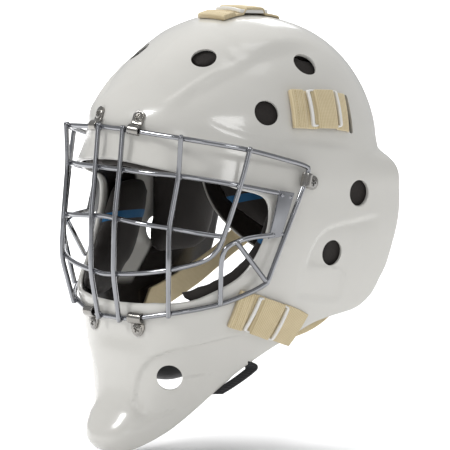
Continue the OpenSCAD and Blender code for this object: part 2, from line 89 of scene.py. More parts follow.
def smooth(low: float, high: float, x: np.ndarray) -> np.ndarray:
    """Smooth step from 0 at low to 1 at high.

    Args:
        low: where the step starts.
        high: where it ends.
        x: the values to step.

    Returns:
        The stepped values, from 0 to 1.
    """
    t = np.clip((np.asarray(x, float) - low) / (high - low), 0.0, 1.0)
    return t * t * (3 - 2 * t)


def unit(v: np.ndarray) -> np.ndarray:
    """Vectors scaled to length 1 along the last axis."""
    return v / np.maximum(np.linalg.norm(v, axis=-1, keepdims=True), 1e-12)


def along(xs: np.ndarray, ys: np.ndarray, x: np.ndarray) -> np.ndarray:
    """Cubic through a table that lies flat at both ends.

    Args:
        xs: rising table positions.
        ys: table values.
        x: where to read.

    Returns:
        The values at x.
    """
    slopes = np.zeros(len(xs))
    slopes[1:-1] = (ys[2:] - ys[:-2]) / (xs[2:] - xs[:-2])
    x = np.asarray(x, float)
    i = np.clip(np.searchsorted(xs, x, side="right") - 1, 0, len(xs) - 2)
    gap = xs[i + 1] - xs[i]
    t = np.clip((x - xs[i]) / gap, 0.0, 1.0)
    step = t * t * (3 - 2 * t)
    bend = gap * t * (1 - t) * (slopes[i] * (1 - t) - slopes[i + 1] * t)
    return ys[i] + (ys[i + 1] - ys[i]) * step + bend


def smooth_run(points: np.ndarray, steps: int) -> np.ndarray:
    """A smooth run of points through a list.

    Args:
        points: the points to pass through, shape (n, 3).
        steps: how many points each gap gets.

    Returns:
        Points along the run, ends included.
    """
    p = np.asarray(points, float)
    run = []
    for i in range(len(p) - 1):
        a, b, c, d = p[max(i - 1, 0)], p[i], p[i + 1], p[min(i + 2, len(p) - 1)]
        for k in range(steps):
            t = k / steps
            run.append((2 * b + (c - a) * t + (2 * a - 5 * b + 4 * c - d) * t * t
                        + (3 * b - a - 3 * c + d) * t ** 3) / 2)
    run.append(p[-1])
    return np.array(run)


def even_steps(run: np.ndarray, gap: float) -> np.ndarray:
    """A run of points cut anew to even steps of about gap."""
    lengths = lengths_of(run)
    marks = np.linspace(0.0, lengths[-1], max(int(round(lengths[-1] / gap)), 2) + 1)
    return np.stack([np.interp(marks, lengths, run[:, k]) for k in range(3)], axis=1)


def even_run(points: np.ndarray, gap: float) -> np.ndarray:
    """The smooth run through a list, cut to even steps of about gap."""
    return even_steps(smooth_run(points, 24), gap)


def rounded_path(points: np.ndarray, radius: float, gap: float) -> np.ndarray:
    """Straight runs through a list with its corners rounded, in even steps.

    Args:
        points: the points that the runs join, shape (n, 3).
        radius: how far from a corner its bend starts.
        gap: about the length of a step.

    Returns:
        Points along the path, ends included.
    """
    p = np.asarray(points, float)
    run = [p[0]]
    for i in range(1, len(p) - 1):
        back, ahead = p[i - 1] - p[i], p[i + 1] - p[i]
        a = p[i] + unit(back) * min(radius, np.linalg.norm(back) * 0.45)
        b = p[i] + unit(ahead) * min(radius, np.linalg.norm(ahead) * 0.45)
        for t in np.linspace(0, 1, 9):
            run.append((1 - t) ** 2 * a + 2 * t * (1 - t) * p[i] + t * t * b)
    return even_steps(np.array([*run, p[-1]]), gap)


def lengths_of(path: np.ndarray) -> np.ndarray:
    """Distance along a path at each of its points."""
    return np.concatenate([[0.0], np.cumsum(np.linalg.norm(np.diff(path, axis=0), axis=1))])


def steps_of(path: np.ndarray) -> np.ndarray:
    """The direction of travel at each point of a path."""
    ahead = np.concatenate([path[1:], path[-1:]])
    behind = np.concatenate([path[:1], path[:-1]])
    return unit(ahead - behind)


def flip(points: np.ndarray) -> np.ndarray:
    """Points mirrored to the other half of the mask."""
    return np.asarray(points, float) * np.array([-1.0, 1.0, 1.0])


def both(half: np.ndarray) -> np.ndarray:
    """A half line and its mirror image as one line, joined at its first point."""
    half = np.asarray(half, float)
    return np.concatenate([flip(half[:0:-1]), half])


def rounded_loop(width: float, thick: float, radius: float, across: int) -> np.ndarray:
    """Outline of a flat bar's section.

    Args:
        width: size across.
        thick: size upward, from 0.
        radius: corner radius.
        across: how many steps the flat faces get.

    Returns:
        Points (across, up) round the section, counter-clockwise.
    """
    radius = min(radius, thick / 2 - 0.01, width / 2 - 0.01)
    points = []
    flat = np.linspace(-width / 2 + radius, width / 2 - radius, across + 1)
    points += [(a, 0.0) for a in flat]
    for angle in (-60, -30, 0, 30, 60) if radius > 0.3 else (-45, 45):
        r = math.radians(angle)
        up = radius if angle < 0 else thick - radius
        if angle == 0:
            points.append((width / 2, thick / 2))
        else:
            points.append((width / 2 - radius + radius * math.cos(r), up + radius * math.sin(r)))
    points += [(a, thick) for a in flat[::-1]]
    for angle in (120, 150, 180, 210, 240) if radius > 0.3 else (135, 225):
        r = math.radians(angle)
        up = thick - radius if angle < 180 else radius
        if angle == 180:
            points.append((-width / 2, thick / 2))
        else:
            points.append((-width / 2 + radius + radius * math.cos(r), up + radius * math.sin(r)))
    return np.array(points)


# ---- the mask's surface ------------------------------------------------------------------


class MaskShape:
    """The outer surface that the CAD shell follows, in millimetres.

    A direction from the eye point is a tilt away from the face and a turn from the
    crown round to the left, both in degrees.
    """

    eye = np.array([0.0, -20.0, -20.0])
    half_width = 107.0
    reach = 141.0
    rear = 104.0
    crown = 150.0
    dome_from = 20.0
    bottom = -188.0
    wall = 4.0
    sections = np.array([
        (-188, .28, .94), (-182, .38, 1.03), (-174, .44, 1.09), (-165, .50, 1.09), (-158, .54, 1.06),
        (-148, .60, 1.01), (-137, .65, .99), (-120, .72, .98), (-105, .79, .98), (-88, .87, .97),
        (-60, .95, .98), (-20, 1, 1), (20, 1, 1)])
    outer_points = np.array([
        (0, 62, 138), (40, 70, 126), (68, 76, 100), (82, 74, 74), (90, 64, 53), (100, 67, 39),
        (106, 72, 23), (106, 71, 0), (104, 62, -27), (101, 52, -50), (98, 31, -75), (95, -8, -81),
        (91, -25, -87), (82, -51, -102), (73, -69, -117), (62, -86, -133), (47, -106, -154),
        (26, -130, -171), (0, -142, -179)], float)
    face_points = np.array([
        (0, -139, 47), (35, -134, 44), (65, -118, 38), (91, -91, 28), (100, -70, 20),
        (102, -66, 5), (99, -72, -18), (92, -86, -40), (76, -106, -54), (39, -134, -63),
        (0, -141, -66)], float)

    def _dome(self, z: np.ndarray, power: float) -> np.ndarray:
        """How much of its width the dome keeps at a height."""
        k = np.clip((z - self.dome_from) / (self.crown - self.dome_from), 0, 1)
        return np.maximum(1 - k ** power, 0) ** (1 / power)

    def _depth(self, p: np.ndarray) -> np.ndarray:
        """Below 1 inside the outer surface and above 1 outside it."""
        x, y, z = p[..., 0], p[..., 1], p[..., 2]
        table = self.sections
        domed = self._dome(z, 2.25)
        width = self.half_width * np.where(z > self.dome_from, domed, along(table[:, 0], table[:, 1], z))
        front = self.reach * np.where(
            z > self.dome_from, self._dome(z, 2), along(table[:, 0], table[:, 2], z))
        front = front + 9 * np.exp(-((z - 84) / 19) ** 2)
        rear = self.rear * np.where(z > self.dome_from, domed, 1.0) * (2 - smooth(28, 50, z))
        power = 2.15 + 0.45 * (1 - smooth(20, 60, z))
        reach = np.where(y < 0, front, rear)
        depth = (np.abs(x) / np.maximum(width, 1e-6)) ** power
        depth = depth + (np.abs(y) / np.maximum(reach, 1e-6)) ** power
        return np.where((z >= self.crown) | (z < self.bottom - 1), 9.0, depth)

    def angles(self, p: np.ndarray) -> tuple[np.ndarray, np.ndarray]:
        """Tilt and turn, in degrees, of the direction from the eye to points."""
        d = np.asarray(p, float) - self.eye
        tilt = np.degrees(np.arccos(np.clip(-d[..., 1] / np.linalg.norm(d, axis=-1), -1, 1)))
        return tilt, np.degrees(np.arctan2(d[..., 0], d[..., 2]))

    def skin(self, tilt: np.ndarray, turn: np.ndarray) -> np.ndarray:
        """Points of the outer surface in the given directions."""
        tilt, turn = np.broadcast_arrays(np.asarray(tilt, float), np.asarray(turn, float))
        a, b = np.radians(tilt), np.radians(turn)
        d = np.stack([np.sin(a) * np.sin(b), -np.cos(a), np.sin(a) * np.cos(b)], axis=-1)
        low, high = np.full(tilt.shape, 40.0), np.full(tilt.shape, 300.0)
        for _ in range(20):
            middle = (low + high) / 2
            inside = self._depth(self.eye + d * middle[..., None]) < 1
            low, high = np.where(inside, middle, low), np.where(inside, high, middle)
        away = np.abs((turn + 180) % 360 - 180)
        ridge = 4 * (1 - smooth(20, 26, away)) * smooth(44, 60, tilt) * (1 - smooth(88, 108, tilt))
        return self.eye + d * ((low + high) / 2 + ridge)[..., None]

    def normal(self, tilt: np.ndarray, turn: np.ndarray) -> np.ndarray:
        """Outward normals of the surface in the given directions."""
        across = self.skin(tilt, np.asarray(turn) + 1) - self.skin(tilt, np.asarray(turn) - 1)
        down = self.skin(np.asarray(tilt) + 1, turn) - self.skin(np.asarray(tilt) - 1, turn)
        return unit(np.cross(across, down))

    def settle(self, p: np.ndarray, lift: np.ndarray | float = 0.0) -> np.ndarray:
        """Points moved onto the surface behind them, then lifted off it."""
        tilt, turn = self.angles(p)
        lift = np.broadcast_to(np.asarray(lift, float), tilt.shape)
        return self.skin(tilt, turn) + self.normal(tilt, turn) * lift[..., None]

    def normal_at(self, p: np.ndarray) -> np.ndarray:
        """Outward normals of the surface at points near it."""
        return self.normal(*self.angles(p))

    def face_tilt(self, turn: np.ndarray) -> np.ndarray:
        """Tilt of the face opening's edge at a turn."""
        tilt, turns = self.angles(self.face_points)
        return along(turns, tilt, np.abs(turn))

    def outer_tilt(self, turn: np.ndarray) -> np.ndarray:
        """Tilt of the shell's outer edge at a turn."""
        tilt, turns = self.angles(self.outer_points)
        return along(turns, tilt, np.abs(turn))

    def hold_inside(self, p: np.ndarray, gap: float) -> np.ndarray:
        """Points pulled toward the eye until they lie at least gap inside the surface."""
        tilt, turn = self.angles(p)
        d = p - self.eye
        far = np.linalg.norm(d, axis=-1)
        skin = self.skin(tilt, turn)
        facing = np.sum(self.normal(tilt, turn) * unit(d), axis=-1)
        most = np.linalg.norm(skin - self.eye, axis=-1) - gap / np.clip(facing, 0.45, 1)
        return self.eye + unit(d) * np.minimum(far, most)[..., None]


# ---- meshes ------------------------------------------------------------------------------


def linear(code: str) -> tuple[float, float, float, float]:
    """An sRGB hex colour as linear red, green, blue and alpha."""
    parts = [int(code.lstrip("#")[i:i + 2], 16) / 255 for i in (0, 2, 4)]
    made = [c / 12.92 if c <= 0.04045 else ((c + 0.055) / 1.055) ** 2.4 for c in parts]
    return made[0], made[1], made[2], 1.0


def grid_faces(rows: int, cols: int, ring_rows: bool, ring_cols: bool) -> Faces:
    """Quads between the points of a grid stored row by row.

    Args:
        rows: number of rows.
        cols: number of columns.
        ring_rows: whether the last row joins the first.
        ring_cols: whether the last column joins the first.

    Returns:
        The faces as corner numbers.
    """
    i, j = np.meshgrid(np.arange(rows if ring_rows else rows - 1),
                       np.arange(cols if ring_cols else cols - 1), indexing="ij")
    below, right = (i + 1) % rows, (j + 1) % cols
    corners = [i * cols + j, i * cols + right, below * cols + right, below * cols + j]
    return [tuple(f) for f in np.stack(corners, axis=-1).reshape(-1, 4).tolist()]


def make_object(name: str, points: np.ndarray, faces: Faces, finish: bpy.types.Material,
                outward: bool = True) -> bpy.types.Object:
    """A mesh object from points in millimetres.

    Args:
        name: the piece's name.
        points: corner positions, shape (n, 3).
        faces: faces as corner numbers.
        finish: the material it wears.
        outward: whether its faces are turned to point outward.

    Returns:
        The linked object, at the origin.
    """
    mesh = bpy.data.meshes.new(name)
    mesh.from_pydata((np.asarray(points, float).reshape(-1, 3) * MM).tolist(), [], faces)
    if outward:
        work = bmesh.new()
        work.from_mesh(mesh)
        bmesh.ops.recalc_face_normals(work, faces=work.faces)
        work.to_mesh(mesh)
        work.free()
    mesh.shade_smooth()
    mesh.materials.append(finish)
    made = bpy.data.objects.new(name, mesh)
    bpy.context.scene.collection.objects.link(made)
    return made


def loft(rings: np.ndarray, loop: bool = False) -> tuple[np.ndarray, Faces]:
    """A closed skin through rings of points.

    Args:
        rings: the rings, shape (n, sides, 3).
        loop: whether the last ring joins the first, in place of flat ends.

    Returns:
        Points and faces.
    """
    count, sides = rings.shape[:2]
    faces = grid_faces(count, sides, loop, True)
    if not loop:
        faces.append(tuple(range(sides - 1, -1, -1)))
        faces.append(tuple(range((count - 1) * sides, count * sides)))
    return rings.reshape(-1, 3), faces


def join_parts(parts: list[tuple[np.ndarray, Faces]]) -> tuple[np.ndarray, Faces]:
    """Several closed skins as one list of points and faces."""
    points, faces, start = [], [], 0
    for p, f in parts:
        points.append(p)
        faces += [tuple(start + i for i in face) for face in f]
        start += len(p)
    return np.concatenate(points), faces


def revolve(profile: list[tuple[float, float]], sides: int = 32) -> tuple[np.ndarray, Faces]:
    """A solid turned about +Z from (radius, height) pairs; ends on the axis are poles."""
    angle = np.arange(sides) * 2 * math.pi / sides
    rings = np.array([[(r * math.cos(a), r * math.sin(a), h) for a in angle] for r, h in profile])
    return loft(rings)


def apply_modifiers(piece: bpy.types.Object) -> bpy.types.Object:
    """Makes a piece's modifiers part of its mesh and removes them."""
    graph = bpy.context.evaluated_depsgraph_get()
    mesh = bpy.data.meshes.new_from_object(piece.evaluated_get(graph), depsgraph=graph)
    old = piece.data
    piece.modifiers.clear()
    piece.data = mesh
    mesh.name = piece.name
    bpy.data.meshes.remove(old)
    return piece


def coordinates(mesh: bpy.types.Mesh) -> np.ndarray:
    """A mesh's corner positions in metres, shape (n, 3)."""
    co = np.zeros(len(mesh.vertices) * 3)
    mesh.vertices.foreach_get("co", co)
    return co.reshape(-1, 3)


def bevel(piece: bpy.types.Object, width_mm: float, segments: int = 2, angle: float = 35.0) -> None:
    """Rounds a piece's sharp edges and keeps its flat faces flat."""
    modifier = piece.modifiers.new("edges", "BEVEL")
    modifier.width = width_mm * MM
    modifier.segments = segments
    modifier.limit_method = "ANGLE"
    modifier.angle_limit = math.radians(angle)
    modifier.harden_normals = True
    apply_modifiers(piece)


def add_uv(piece: bpy.types.Object, uv: np.ndarray) -> None:
    """Gives a mesh a UV map from one (u, v) for each of its points, in metres."""
    mesh = piece.data
    layer = mesh.uv_layers.get("UVMap") or mesh.uv_layers.new(name="UVMap")
    index = np.zeros(len(mesh.loops), dtype=np.int32)
    mesh.loops.foreach_get("vertex_index", index)
    layer.data.foreach_set("uv", uv[index].astype(np.float32).ravel())


def mark_inside(piece: bpy.types.Object, share: np.ndarray) -> None:
    """Stores how far each point takes the inner face's painted shade, from 0 to 1."""
    layer = piece.data.attributes.new("inside", "FLOAT", "POINT")
    layer.data.foreach_set("value", share.astype(np.float32))


def cut_away(piece: bpy.types.Object, cutters: list[tuple[np.ndarray, Faces]]) -> None:
    """Cuts closed shapes out of a piece, which keeps only its own material."""
    cutter = make_object(piece.name + "_cutters", *join_parts(cutters), piece.data.materials[0])
    modifier = piece.modifiers.new("cuts", "BOOLEAN")
    modifier.operation, modifier.solver, modifier.object = "DIFFERENCE", "MANIFOLD", cutter
    apply_modifiers(piece)
    bpy.data.objects.remove(cutter)
    while len(piece.data.materials) > 1:
        piece.data.materials.pop()


def ribbon(points: list[Point], sides: list[Point], width: float, thick: float, gap: float,
           across_steps: int) -> tuple[np.ndarray, Faces, np.ndarray]:
    """Webbing through listed points, with its own across direction at each.

    Args:
        points: the points its middle passes through, in millimetres.
        sides: the direction across it at even shares of its length.
        width: its width.
        thick: its thickness.
        gap: about the length of a step along it.
        across_steps: how many steps its flat faces get.

    Returns:
        Points, faces and a UV in metres for each point.
    """
    path = even_run(np.array(points, float), gap)
    share = np.linspace(0, len(sides) - 1, len(path))
    across = unit(np.stack([np.interp(share, np.arange(len(sides)), np.array(sides, float)[:, k])
                            for k in range(3)], axis=1))
    face = unit(np.cross(steps_of(path), across))
    loop = rounded_loop(width, thick, 0.7, across_steps)
    rings = (path[:, None] + across[:, None] * loop[None, :, :1]
             + face[:, None] * (loop[None, :, 1:] - thick / 2))
    size = (len(path), len(loop))
    uv = np.stack([np.broadcast_to((loop[:, 0] + 100) * MM, size),
                   np.broadcast_to(lengths_of(path)[:, None] * MM, size)], axis=-1).reshape(-1, 2)
    skin, faces = loft(rings)
    return skin, faces, uv


def finish_piece(piece: bpy.types.Object, body: Body, slot: str, *nodes: str) -> bpy.types.Object:
    """Puts a piece on its body and hides the CAD nodes it stands for."""
    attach(piece, body.value)
    if nodes:
        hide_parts(*nodes)
    LOG.info("%s: %d faces on %s", piece.name, len(piece.data.polygons), body.value)
    return piece


# ---- node trees ----------------------------------------------------------------------------


def add_node(tree: bpy.types.NodeTree, kind: str, settings: dict | None = None,
             inputs: dict | None = None) -> bpy.types.Node:
    """Adds a node with its settings, values and links.

    Args:
        tree: the tree that gets the node.
        kind: the node's type name.
        settings: properties of the node.
        inputs: a value or a socket for each input, by name or number.

    Returns:
        The node.
    """
    node = tree.nodes.new(kind)
    for key, value in (settings or {}).items():
        setattr(node, key, value)
    feed(tree, node, inputs or {})
    return node


def feed(tree: bpy.types.NodeTree, node: bpy.types.Node, inputs: dict) -> None:
    """Gives each named input of a node its value, or links a socket to it."""
    for key, value in inputs.items():
        if isinstance(value, bpy.types.NodeSocket):
            tree.links.new(value, node.inputs[key])
        else:
            node.inputs[key].default_value = value


def new_group(name: str, **kinds: str) -> tuple[bpy.types.NodeTree, bpy.types.Node, dict[str, str]]:
    """A geometry tree, its input node and the identifier of each extra input."""
    tree = bpy.data.node_groups.new(name, "GeometryNodeTree")
    tree.interface.new_socket("Geometry", in_out="INPUT", socket_type="NodeSocketGeometry")
    keys = {word: tree.interface.new_socket(
        word, in_out="INPUT", socket_type=f"NodeSocket{kind}").identifier for word, kind in kinds.items()}
    tree.interface.new_socket("Geometry", in_out="OUTPUT", socket_type="NodeSocketGeometry")
    return tree, add_node(tree, "NodeGroupInput"), keys


def end_group(tree: bpy.types.NodeTree, enter: bpy.types.Node, made: bpy.types.NodeSocket) -> None:
    """Ends a tree: its geometry is made real and gets the tree's material."""
    real = add_node(tree, "GeometryNodeRealizeInstances", inputs={"Geometry": made})
    dressed = add_node(tree, "GeometryNodeSetMaterial", inputs={
        "Geometry": real.outputs["Geometry"], "Material": enter.outputs["Finish"]})
    add_node(tree, "NodeGroupOutput", inputs={"Geometry": dressed.outputs["Geometry"]})


def start_points(name: str, points: np.ndarray, edges: list[tuple[int, int]]) -> bpy.types.Object:
    """An object of bare points in millimetres, and edges, for a tree to work on."""
    mesh = bpy.data.meshes.new(name)
    mesh.from_pydata((np.asarray(points, float) * MM).tolist(), edges, [])
    piece = bpy.data.objects.new(name, mesh)
    bpy.context.scene.collection.objects.link(piece)
    return piece


def run_group(piece: bpy.types.Object, tree: bpy.types.NodeTree, values: dict, spare: str) -> None:
    """Runs a tree on a piece, keeps the result and drops the attribute that the tree read."""
    modifier = piece.modifiers.new("tree", "NODES")
    modifier.node_group = tree
    for key, value in values.items():
        modifier[key] = value
    apply_modifiers(piece)
    for attribute in [a for a in piece.data.attributes if a.name == spare]:
        piece.data.attributes.remove(attribute)


class Scatter:
    """A tree that stands copies of one small shape on laid-out points."""

    def __init__(self) -> None:
        """Builds the tree once for every use."""
        tree, enter, self.keys = new_group("stand_on_points", Shape="Object", Size="Float", Finish="Material")
        source = add_node(tree, "GeometryNodeObjectInfo", inputs={"Object": enter.outputs["Shape"]})
        lay = add_node(tree, "GeometryNodeInputNamedAttribute", {"data_type": "FLOAT_VECTOR"},
                       {"Name": "lay"})
        turned = add_node(tree, "FunctionNodeEulerToRotation", inputs={"Euler": lay.outputs["Attribute"]})
        stood = add_node(tree, "GeometryNodeInstanceOnPoints", inputs={
            "Points": enter.outputs["Geometry"], "Instance": source.outputs["Geometry"],
            "Rotation": turned.outputs["Rotation"], "Scale": enter.outputs["Size"]})
        end_group(tree, enter, stood.outputs["Instances"])
        self.tree = tree

    def place(self, name: str, shape: tuple[np.ndarray, Faces], spots: np.ndarray,
              normals: np.ndarray, tangents: np.ndarray, finish: bpy.types.Material) -> bpy.types.Object:
        """Stands a shape on points, its +Z along each normal.

        Args:
            name: the new piece's name.
            shape: points in millimetres and faces of one copy.
            spots: where the copies stand, in millimetres.
            normals: each copy's +Z.
            tangents: roughly each copy's +X.
            finish: the material the copies wear.

        Returns:
            One mesh object that holds all the copies.
        """
        pattern = make_object(name + "_pattern", *shape, finish)
        piece = start_points(name, spots, [])
        turns = []
        for normal, tangent in zip(unit(np.asarray(normals, float)), np.asarray(tangents, float)):
            x = unit(tangent - normal * np.dot(tangent, normal))
            turns += Matrix(np.stack([x, np.cross(normal, x), normal], axis=1).tolist()).to_euler()[:]
        piece.data.attributes.new("lay", "FLOAT_VECTOR", "POINT").data.foreach_set("vector", turns)
        run_group(piece, self.tree, {
            self.keys["Shape"]: pattern, self.keys["Size"]: 1.0, self.keys["Finish"]: finish}, "lay")
        bpy.data.objects.remove(pattern)
        return piece


class RoundWire:
    """A tree that turns a run of points into a round wire."""

    def __init__(self) -> None:
        """Builds the tree once for every wire."""
        tree, enter, self.keys = new_group("round_wire", Radius="Float", Sides="Int", Finish="Material")
        line = add_node(tree, "GeometryNodeMeshToCurve", inputs={"Mesh": enter.outputs["Geometry"]})
        thick = add_node(tree, "GeometryNodeInputNamedAttribute", {"data_type": "FLOAT"},
                         {"Name": "thick"})
        ring = add_node(tree, "GeometryNodeCurvePrimitiveCircle", inputs={
            "Resolution": enter.outputs["Sides"], "Radius": enter.outputs["Radius"]})
        skin = add_node(tree, "GeometryNodeCurveToMesh", inputs={
            "Curve": line.outputs["Curve"], "Profile Curve": ring.outputs["Curve"],
            "Scale": thick.outputs["Attribute"], "Fill Caps": True})
        shaded = add_node(tree, "GeometryNodeSetShadeSmooth", inputs={"Geometry": skin.outputs["Mesh"]})
        end_group(tree, enter, shaded.outputs[0])
        self.tree = tree

    def draw(self, name: str, path: np.ndarray, radius: float, finish: bpy.types.Material,
             sides: int = 16) -> bpy.types.Object:
        """A wire with rounded ends.

        Args:
            name: the piece's name.
            path: the centre line in millimetres.
            radius: the wire's radius in millimetres.
            finish: the material it wears.
            sides: faces round the wire.

        Returns:
            The wire as a mesh object.
        """
        forward = steps_of(path)
        shares = (0.08, 0.5, 0.85)
        reach = [math.sqrt(1 - s * s) * 0.6 * radius for s in shares]
        head = [path[0] - forward[0] * r for r in reach]
        tail = [path[-1] + forward[-1] * r for r in reach[::-1]]
        line = np.concatenate([head, path, tail])
        thick = [*shares, *([1.0] * len(path)), *shares[::-1]]
        piece = start_points(name, line, [(i, i + 1) for i in range(len(line) - 1)])
        piece.data.attributes.new("thick", "FLOAT", "POINT").data.foreach_set("value", thick)
        run_group(piece, self.tree, {
            self.keys["Radius"]: radius * MM, self.keys["Sides"]: sides, self.keys["Finish"]: finish}, "thick")
        return piece


# ---- finishes ------------------------------------------------------------------------------


def new_finish(name: str) -> tuple[bpy.types.Material, bpy.types.NodeTree, bpy.types.Node]:
    """An empty material with its tree and its shader linked to the output."""
    made = bpy.data.materials.new(name)
    made.use_nodes = True
    tree = made.node_tree
    tree.nodes.clear()
    shader = add_node(tree, "ShaderNodeBsdfPrincipled")
    add_node(tree, "ShaderNodeOutputMaterial", inputs={"Surface": shader.outputs["BSDF"]})
    return made, tree, shader


def place_on(tree: bpy.types.NodeTree, kind: str = "Object") -> bpy.types.NodeSocket:
    """Where a spot lies in its object, in metres, or on its UV map."""
    return add_node(tree, "ShaderNodeTexCoord").outputs[kind]


def noise(tree: bpy.types.NodeTree, place: bpy.types.NodeSocket, size_mm: float, detail: float = 2.0,
          roughness: float = 0.5) -> bpy.types.NodeSocket:
    """Soft noise whose largest spots are about size_mm across."""
    return add_node(tree, "ShaderNodeTexNoise", inputs={
        "Vector": place, "Scale": 1 / (size_mm * MM), "Detail": detail,
        "Roughness": roughness}).outputs["Fac"]


def remap(tree: bpy.types.NodeTree, value: bpy.types.NodeSocket, old: tuple[float, float],
          new: tuple[float, float]) -> bpy.types.NodeSocket:
    """A value moved from one range to another and held inside it."""
    return add_node(tree, "ShaderNodeMapRange", inputs={
        "Value": value, "From Min": old[0], "From Max": old[1], "To Min": new[0],
        "To Max": new[1]}).outputs["Result"]


def mixed(tree: bpy.types.NodeTree, share: bpy.types.NodeSocket, first: str | bpy.types.NodeSocket,
          second: str | bpy.types.NodeSocket) -> bpy.types.NodeSocket:
    """A colour between two, each given as sRGB hex or as a socket."""
    first, second = (linear(c) if isinstance(c, str) else c for c in (first, second))
    return add_node(tree, "ShaderNodeMix", {"data_type": "RGBA"}, {
        "Factor": share, "A": first, "B": second}).outputs["Result"]


def maths(tree: bpy.types.NodeTree, operation: str, *values: object) -> bpy.types.NodeSocket:
    """The result of one sum on values or sockets."""
    return add_node(tree, "ShaderNodeMath", {"operation": operation}, dict(enumerate(values))).outputs[0]


def bumped(tree: bpy.types.NodeTree, height: bpy.types.NodeSocket, strength: float,
           depth_mm: float) -> bpy.types.NodeSocket:
    """Normals that lean as a relief of the given depth would make them."""
    return add_node(tree, "ShaderNodeBump", inputs={
        "Height": height, "Strength": strength, "Distance": depth_mm * MM}).outputs["Normal"]


@dataclass(frozen=True)
class GlossShell:
    """White gel-coated composite: smooth lacquer that shows soft broad reflections.

    The coat has a faint orange peel about 3 mm across, and handling leaves slightly
    duller patches some centimetres wide. The inner face is coloured brown-black as painted shade.
    """

    name: str = "gelcoated_composite"
    light: str = "#CFCDC7"
    dark: str = "#C9C7C1"
    # painted shade: the inner colour darkens the shell's inner face, which lies in shade
    inner: str = "#1E1A17"
    roughness: float = 0.24
    peel_mm: float = 3.0
    patch_mm: float = 60.0

    def build(self) -> bpy.types.Material:
        """The material."""
        made, tree, shader = new_finish(self.name)
        place = place_on(tree)
        patches = noise(tree, place, self.patch_mm, 4.0, 0.6)
        tint = mixed(tree, patches, self.light, self.dark)
        # the inside attribute says where the inner face takes the painted shade
        inside = add_node(tree, "ShaderNodeAttribute", {"attribute_name": "inside"}).outputs["Fac"]
        feed(tree, shader, {
            "Base Color": mixed(tree, inside, tint, self.inner),
            "Roughness": remap(tree, patches, (0.0, 1.0), (self.roughness - 0.02, self.roughness + 0.02)),
            "Normal": bumped(tree, noise(tree, place, self.peel_mm, 1.0), 0.06, 0.4),
            "IOR": 1.5, "Coat Weight": 0.5, "Coat Roughness": 0.09})
        return made


@dataclass(frozen=True)
class PlatedSteel:
    """Polished plating over steel: bright, with a slight drawn grain and dull handling marks."""

    name: str
    colour: str
    roughness: float
    tired: str = "#8B8C8F"
    grain_mm: float = 1.2
    marks_mm: float = 12.0
    marks: float = 0.05

    def build(self) -> bpy.types.Material:
        """The material."""
        made, tree, shader = new_finish(self.name)
        place = place_on(tree)
        marks = noise(tree, place, self.marks_mm, 3.0, 0.65)
        feed(tree, shader, {
            "Base Color": mixed(tree, marks, self.colour, self.tired),
            "Roughness": remap(tree, marks, (0.3, 0.7), (self.roughness, self.roughness + self.marks)),
            "Normal": bumped(tree, noise(tree, place, self.grain_mm), 0.05, 0.1), "Metallic": 1.0})
        return made


@dataclass(frozen=True)
class WovenElastic:
    """Woven polyester elastic: soft cross ribs over a fine warp, with uneven yarn colour.

    The ribs are 1.5 mm apart and the warp 1.1 mm, coarser than the real yarn so that
    both can be seen. Its colour darkens in the weave's grooves as painted shade, over random soil tone.
    """

    name: str
    colour: str
    shade: str
    rib_mm: float = 1.5
    warp_mm: float = 1.1
    height_mm: float = 0.22
    soil_mm: float = 9.0

    def build(self) -> bpy.types.Material:
        """The material, on a UV map whose V runs along the webbing in metres."""
        made, tree, shader = new_finish(self.name)
        flat = place_on(tree, "UV")
        spread = 2 * math.pi / 20
        ribs = add_node(tree, "ShaderNodeTexWave", {"bands_direction": "Y"}, {
            "Vector": flat, "Scale": spread / (self.rib_mm * MM),
            "Distortion": 0.6, "Detail": 1.0, "Detail Scale": 1.0}).outputs["Fac"]
        warp = add_node(tree, "ShaderNodeTexWave", {"bands_direction": "X"}, {
            "Vector": flat, "Scale": spread / (self.warp_mm * MM)}).outputs["Fac"]
        weave = maths(tree, "MULTIPLY_ADD", warp, 0.45, ribs)
        soil = noise(tree, place_on(tree), self.soil_mm, 4.0)
        # painted shade: the weave's grooves darken the colour; the soil noise adds random tone
        soil_and_groove_shade = remap(tree, maths(tree, "MULTIPLY_ADD", soil, 0.7, weave), (0.2, 1.8), (0.0, 1.0))
        feed(tree, shader, {
            "Base Color": mixed(tree, soil_and_groove_shade, self.shade, self.colour),
            "Normal": bumped(tree, weave, 0.6, self.height_mm),
            "Roughness": 0.85, "Sheen Weight": 0.25, "Sheen Roughness": 0.5})
        return made


@dataclass(frozen=True)
class KnitFoam:
    """Foam in a brushed knit cover: dark, matt, with a soft nap and a moulded blue band.

    The knit cells are 1.4 mm, coarser than the real 0.5 mm so that they show.
    """

    name: str
    colour: str
    worn: str
    cell_mm: float = 1.4
    nap_mm: float = 14.0
    band: str | None = None
    band_height: float = 12.0
    band_slope: float = 0.28
    band_mm: float = 9.0

    def build(self) -> bpy.types.Material:
        """The material."""
        made, tree, shader = new_finish(self.name)
        place = place_on(tree)
        cells = add_node(tree, "ShaderNodeTexVoronoi", inputs={
            "Vector": place, "Scale": 1 / (self.cell_mm * MM)}).outputs["Distance"]
        colour = mixed(tree, noise(tree, place, self.nap_mm, 5.0, 0.7), self.colour, self.worn)
        if self.band:
            spot = add_node(tree, "ShaderNodeSeparateXYZ", inputs={"Vector": place}).outputs
            rise = maths(tree, "MULTIPLY_ADD", maths(tree, "ABSOLUTE", spot["X"]), self.band_slope,
                         -self.band_height * MM)
            away = maths(tree, "ABSOLUTE", maths(tree, "ADD", spot["Z"], rise))
            half = self.band_mm / 2
            colour = mixed(tree, remap(tree, away, ((half - 0.5) * MM, half * MM), (1.0, 0.0)), colour,
                           self.band)
        feed(tree, shader, {
            "Base Color": colour, "Normal": bumped(tree, cells, 0.35, 0.3),
            "Roughness": 0.8, "Sheen Weight": 0.12, "Sheen Roughness": 0.4})
        return made


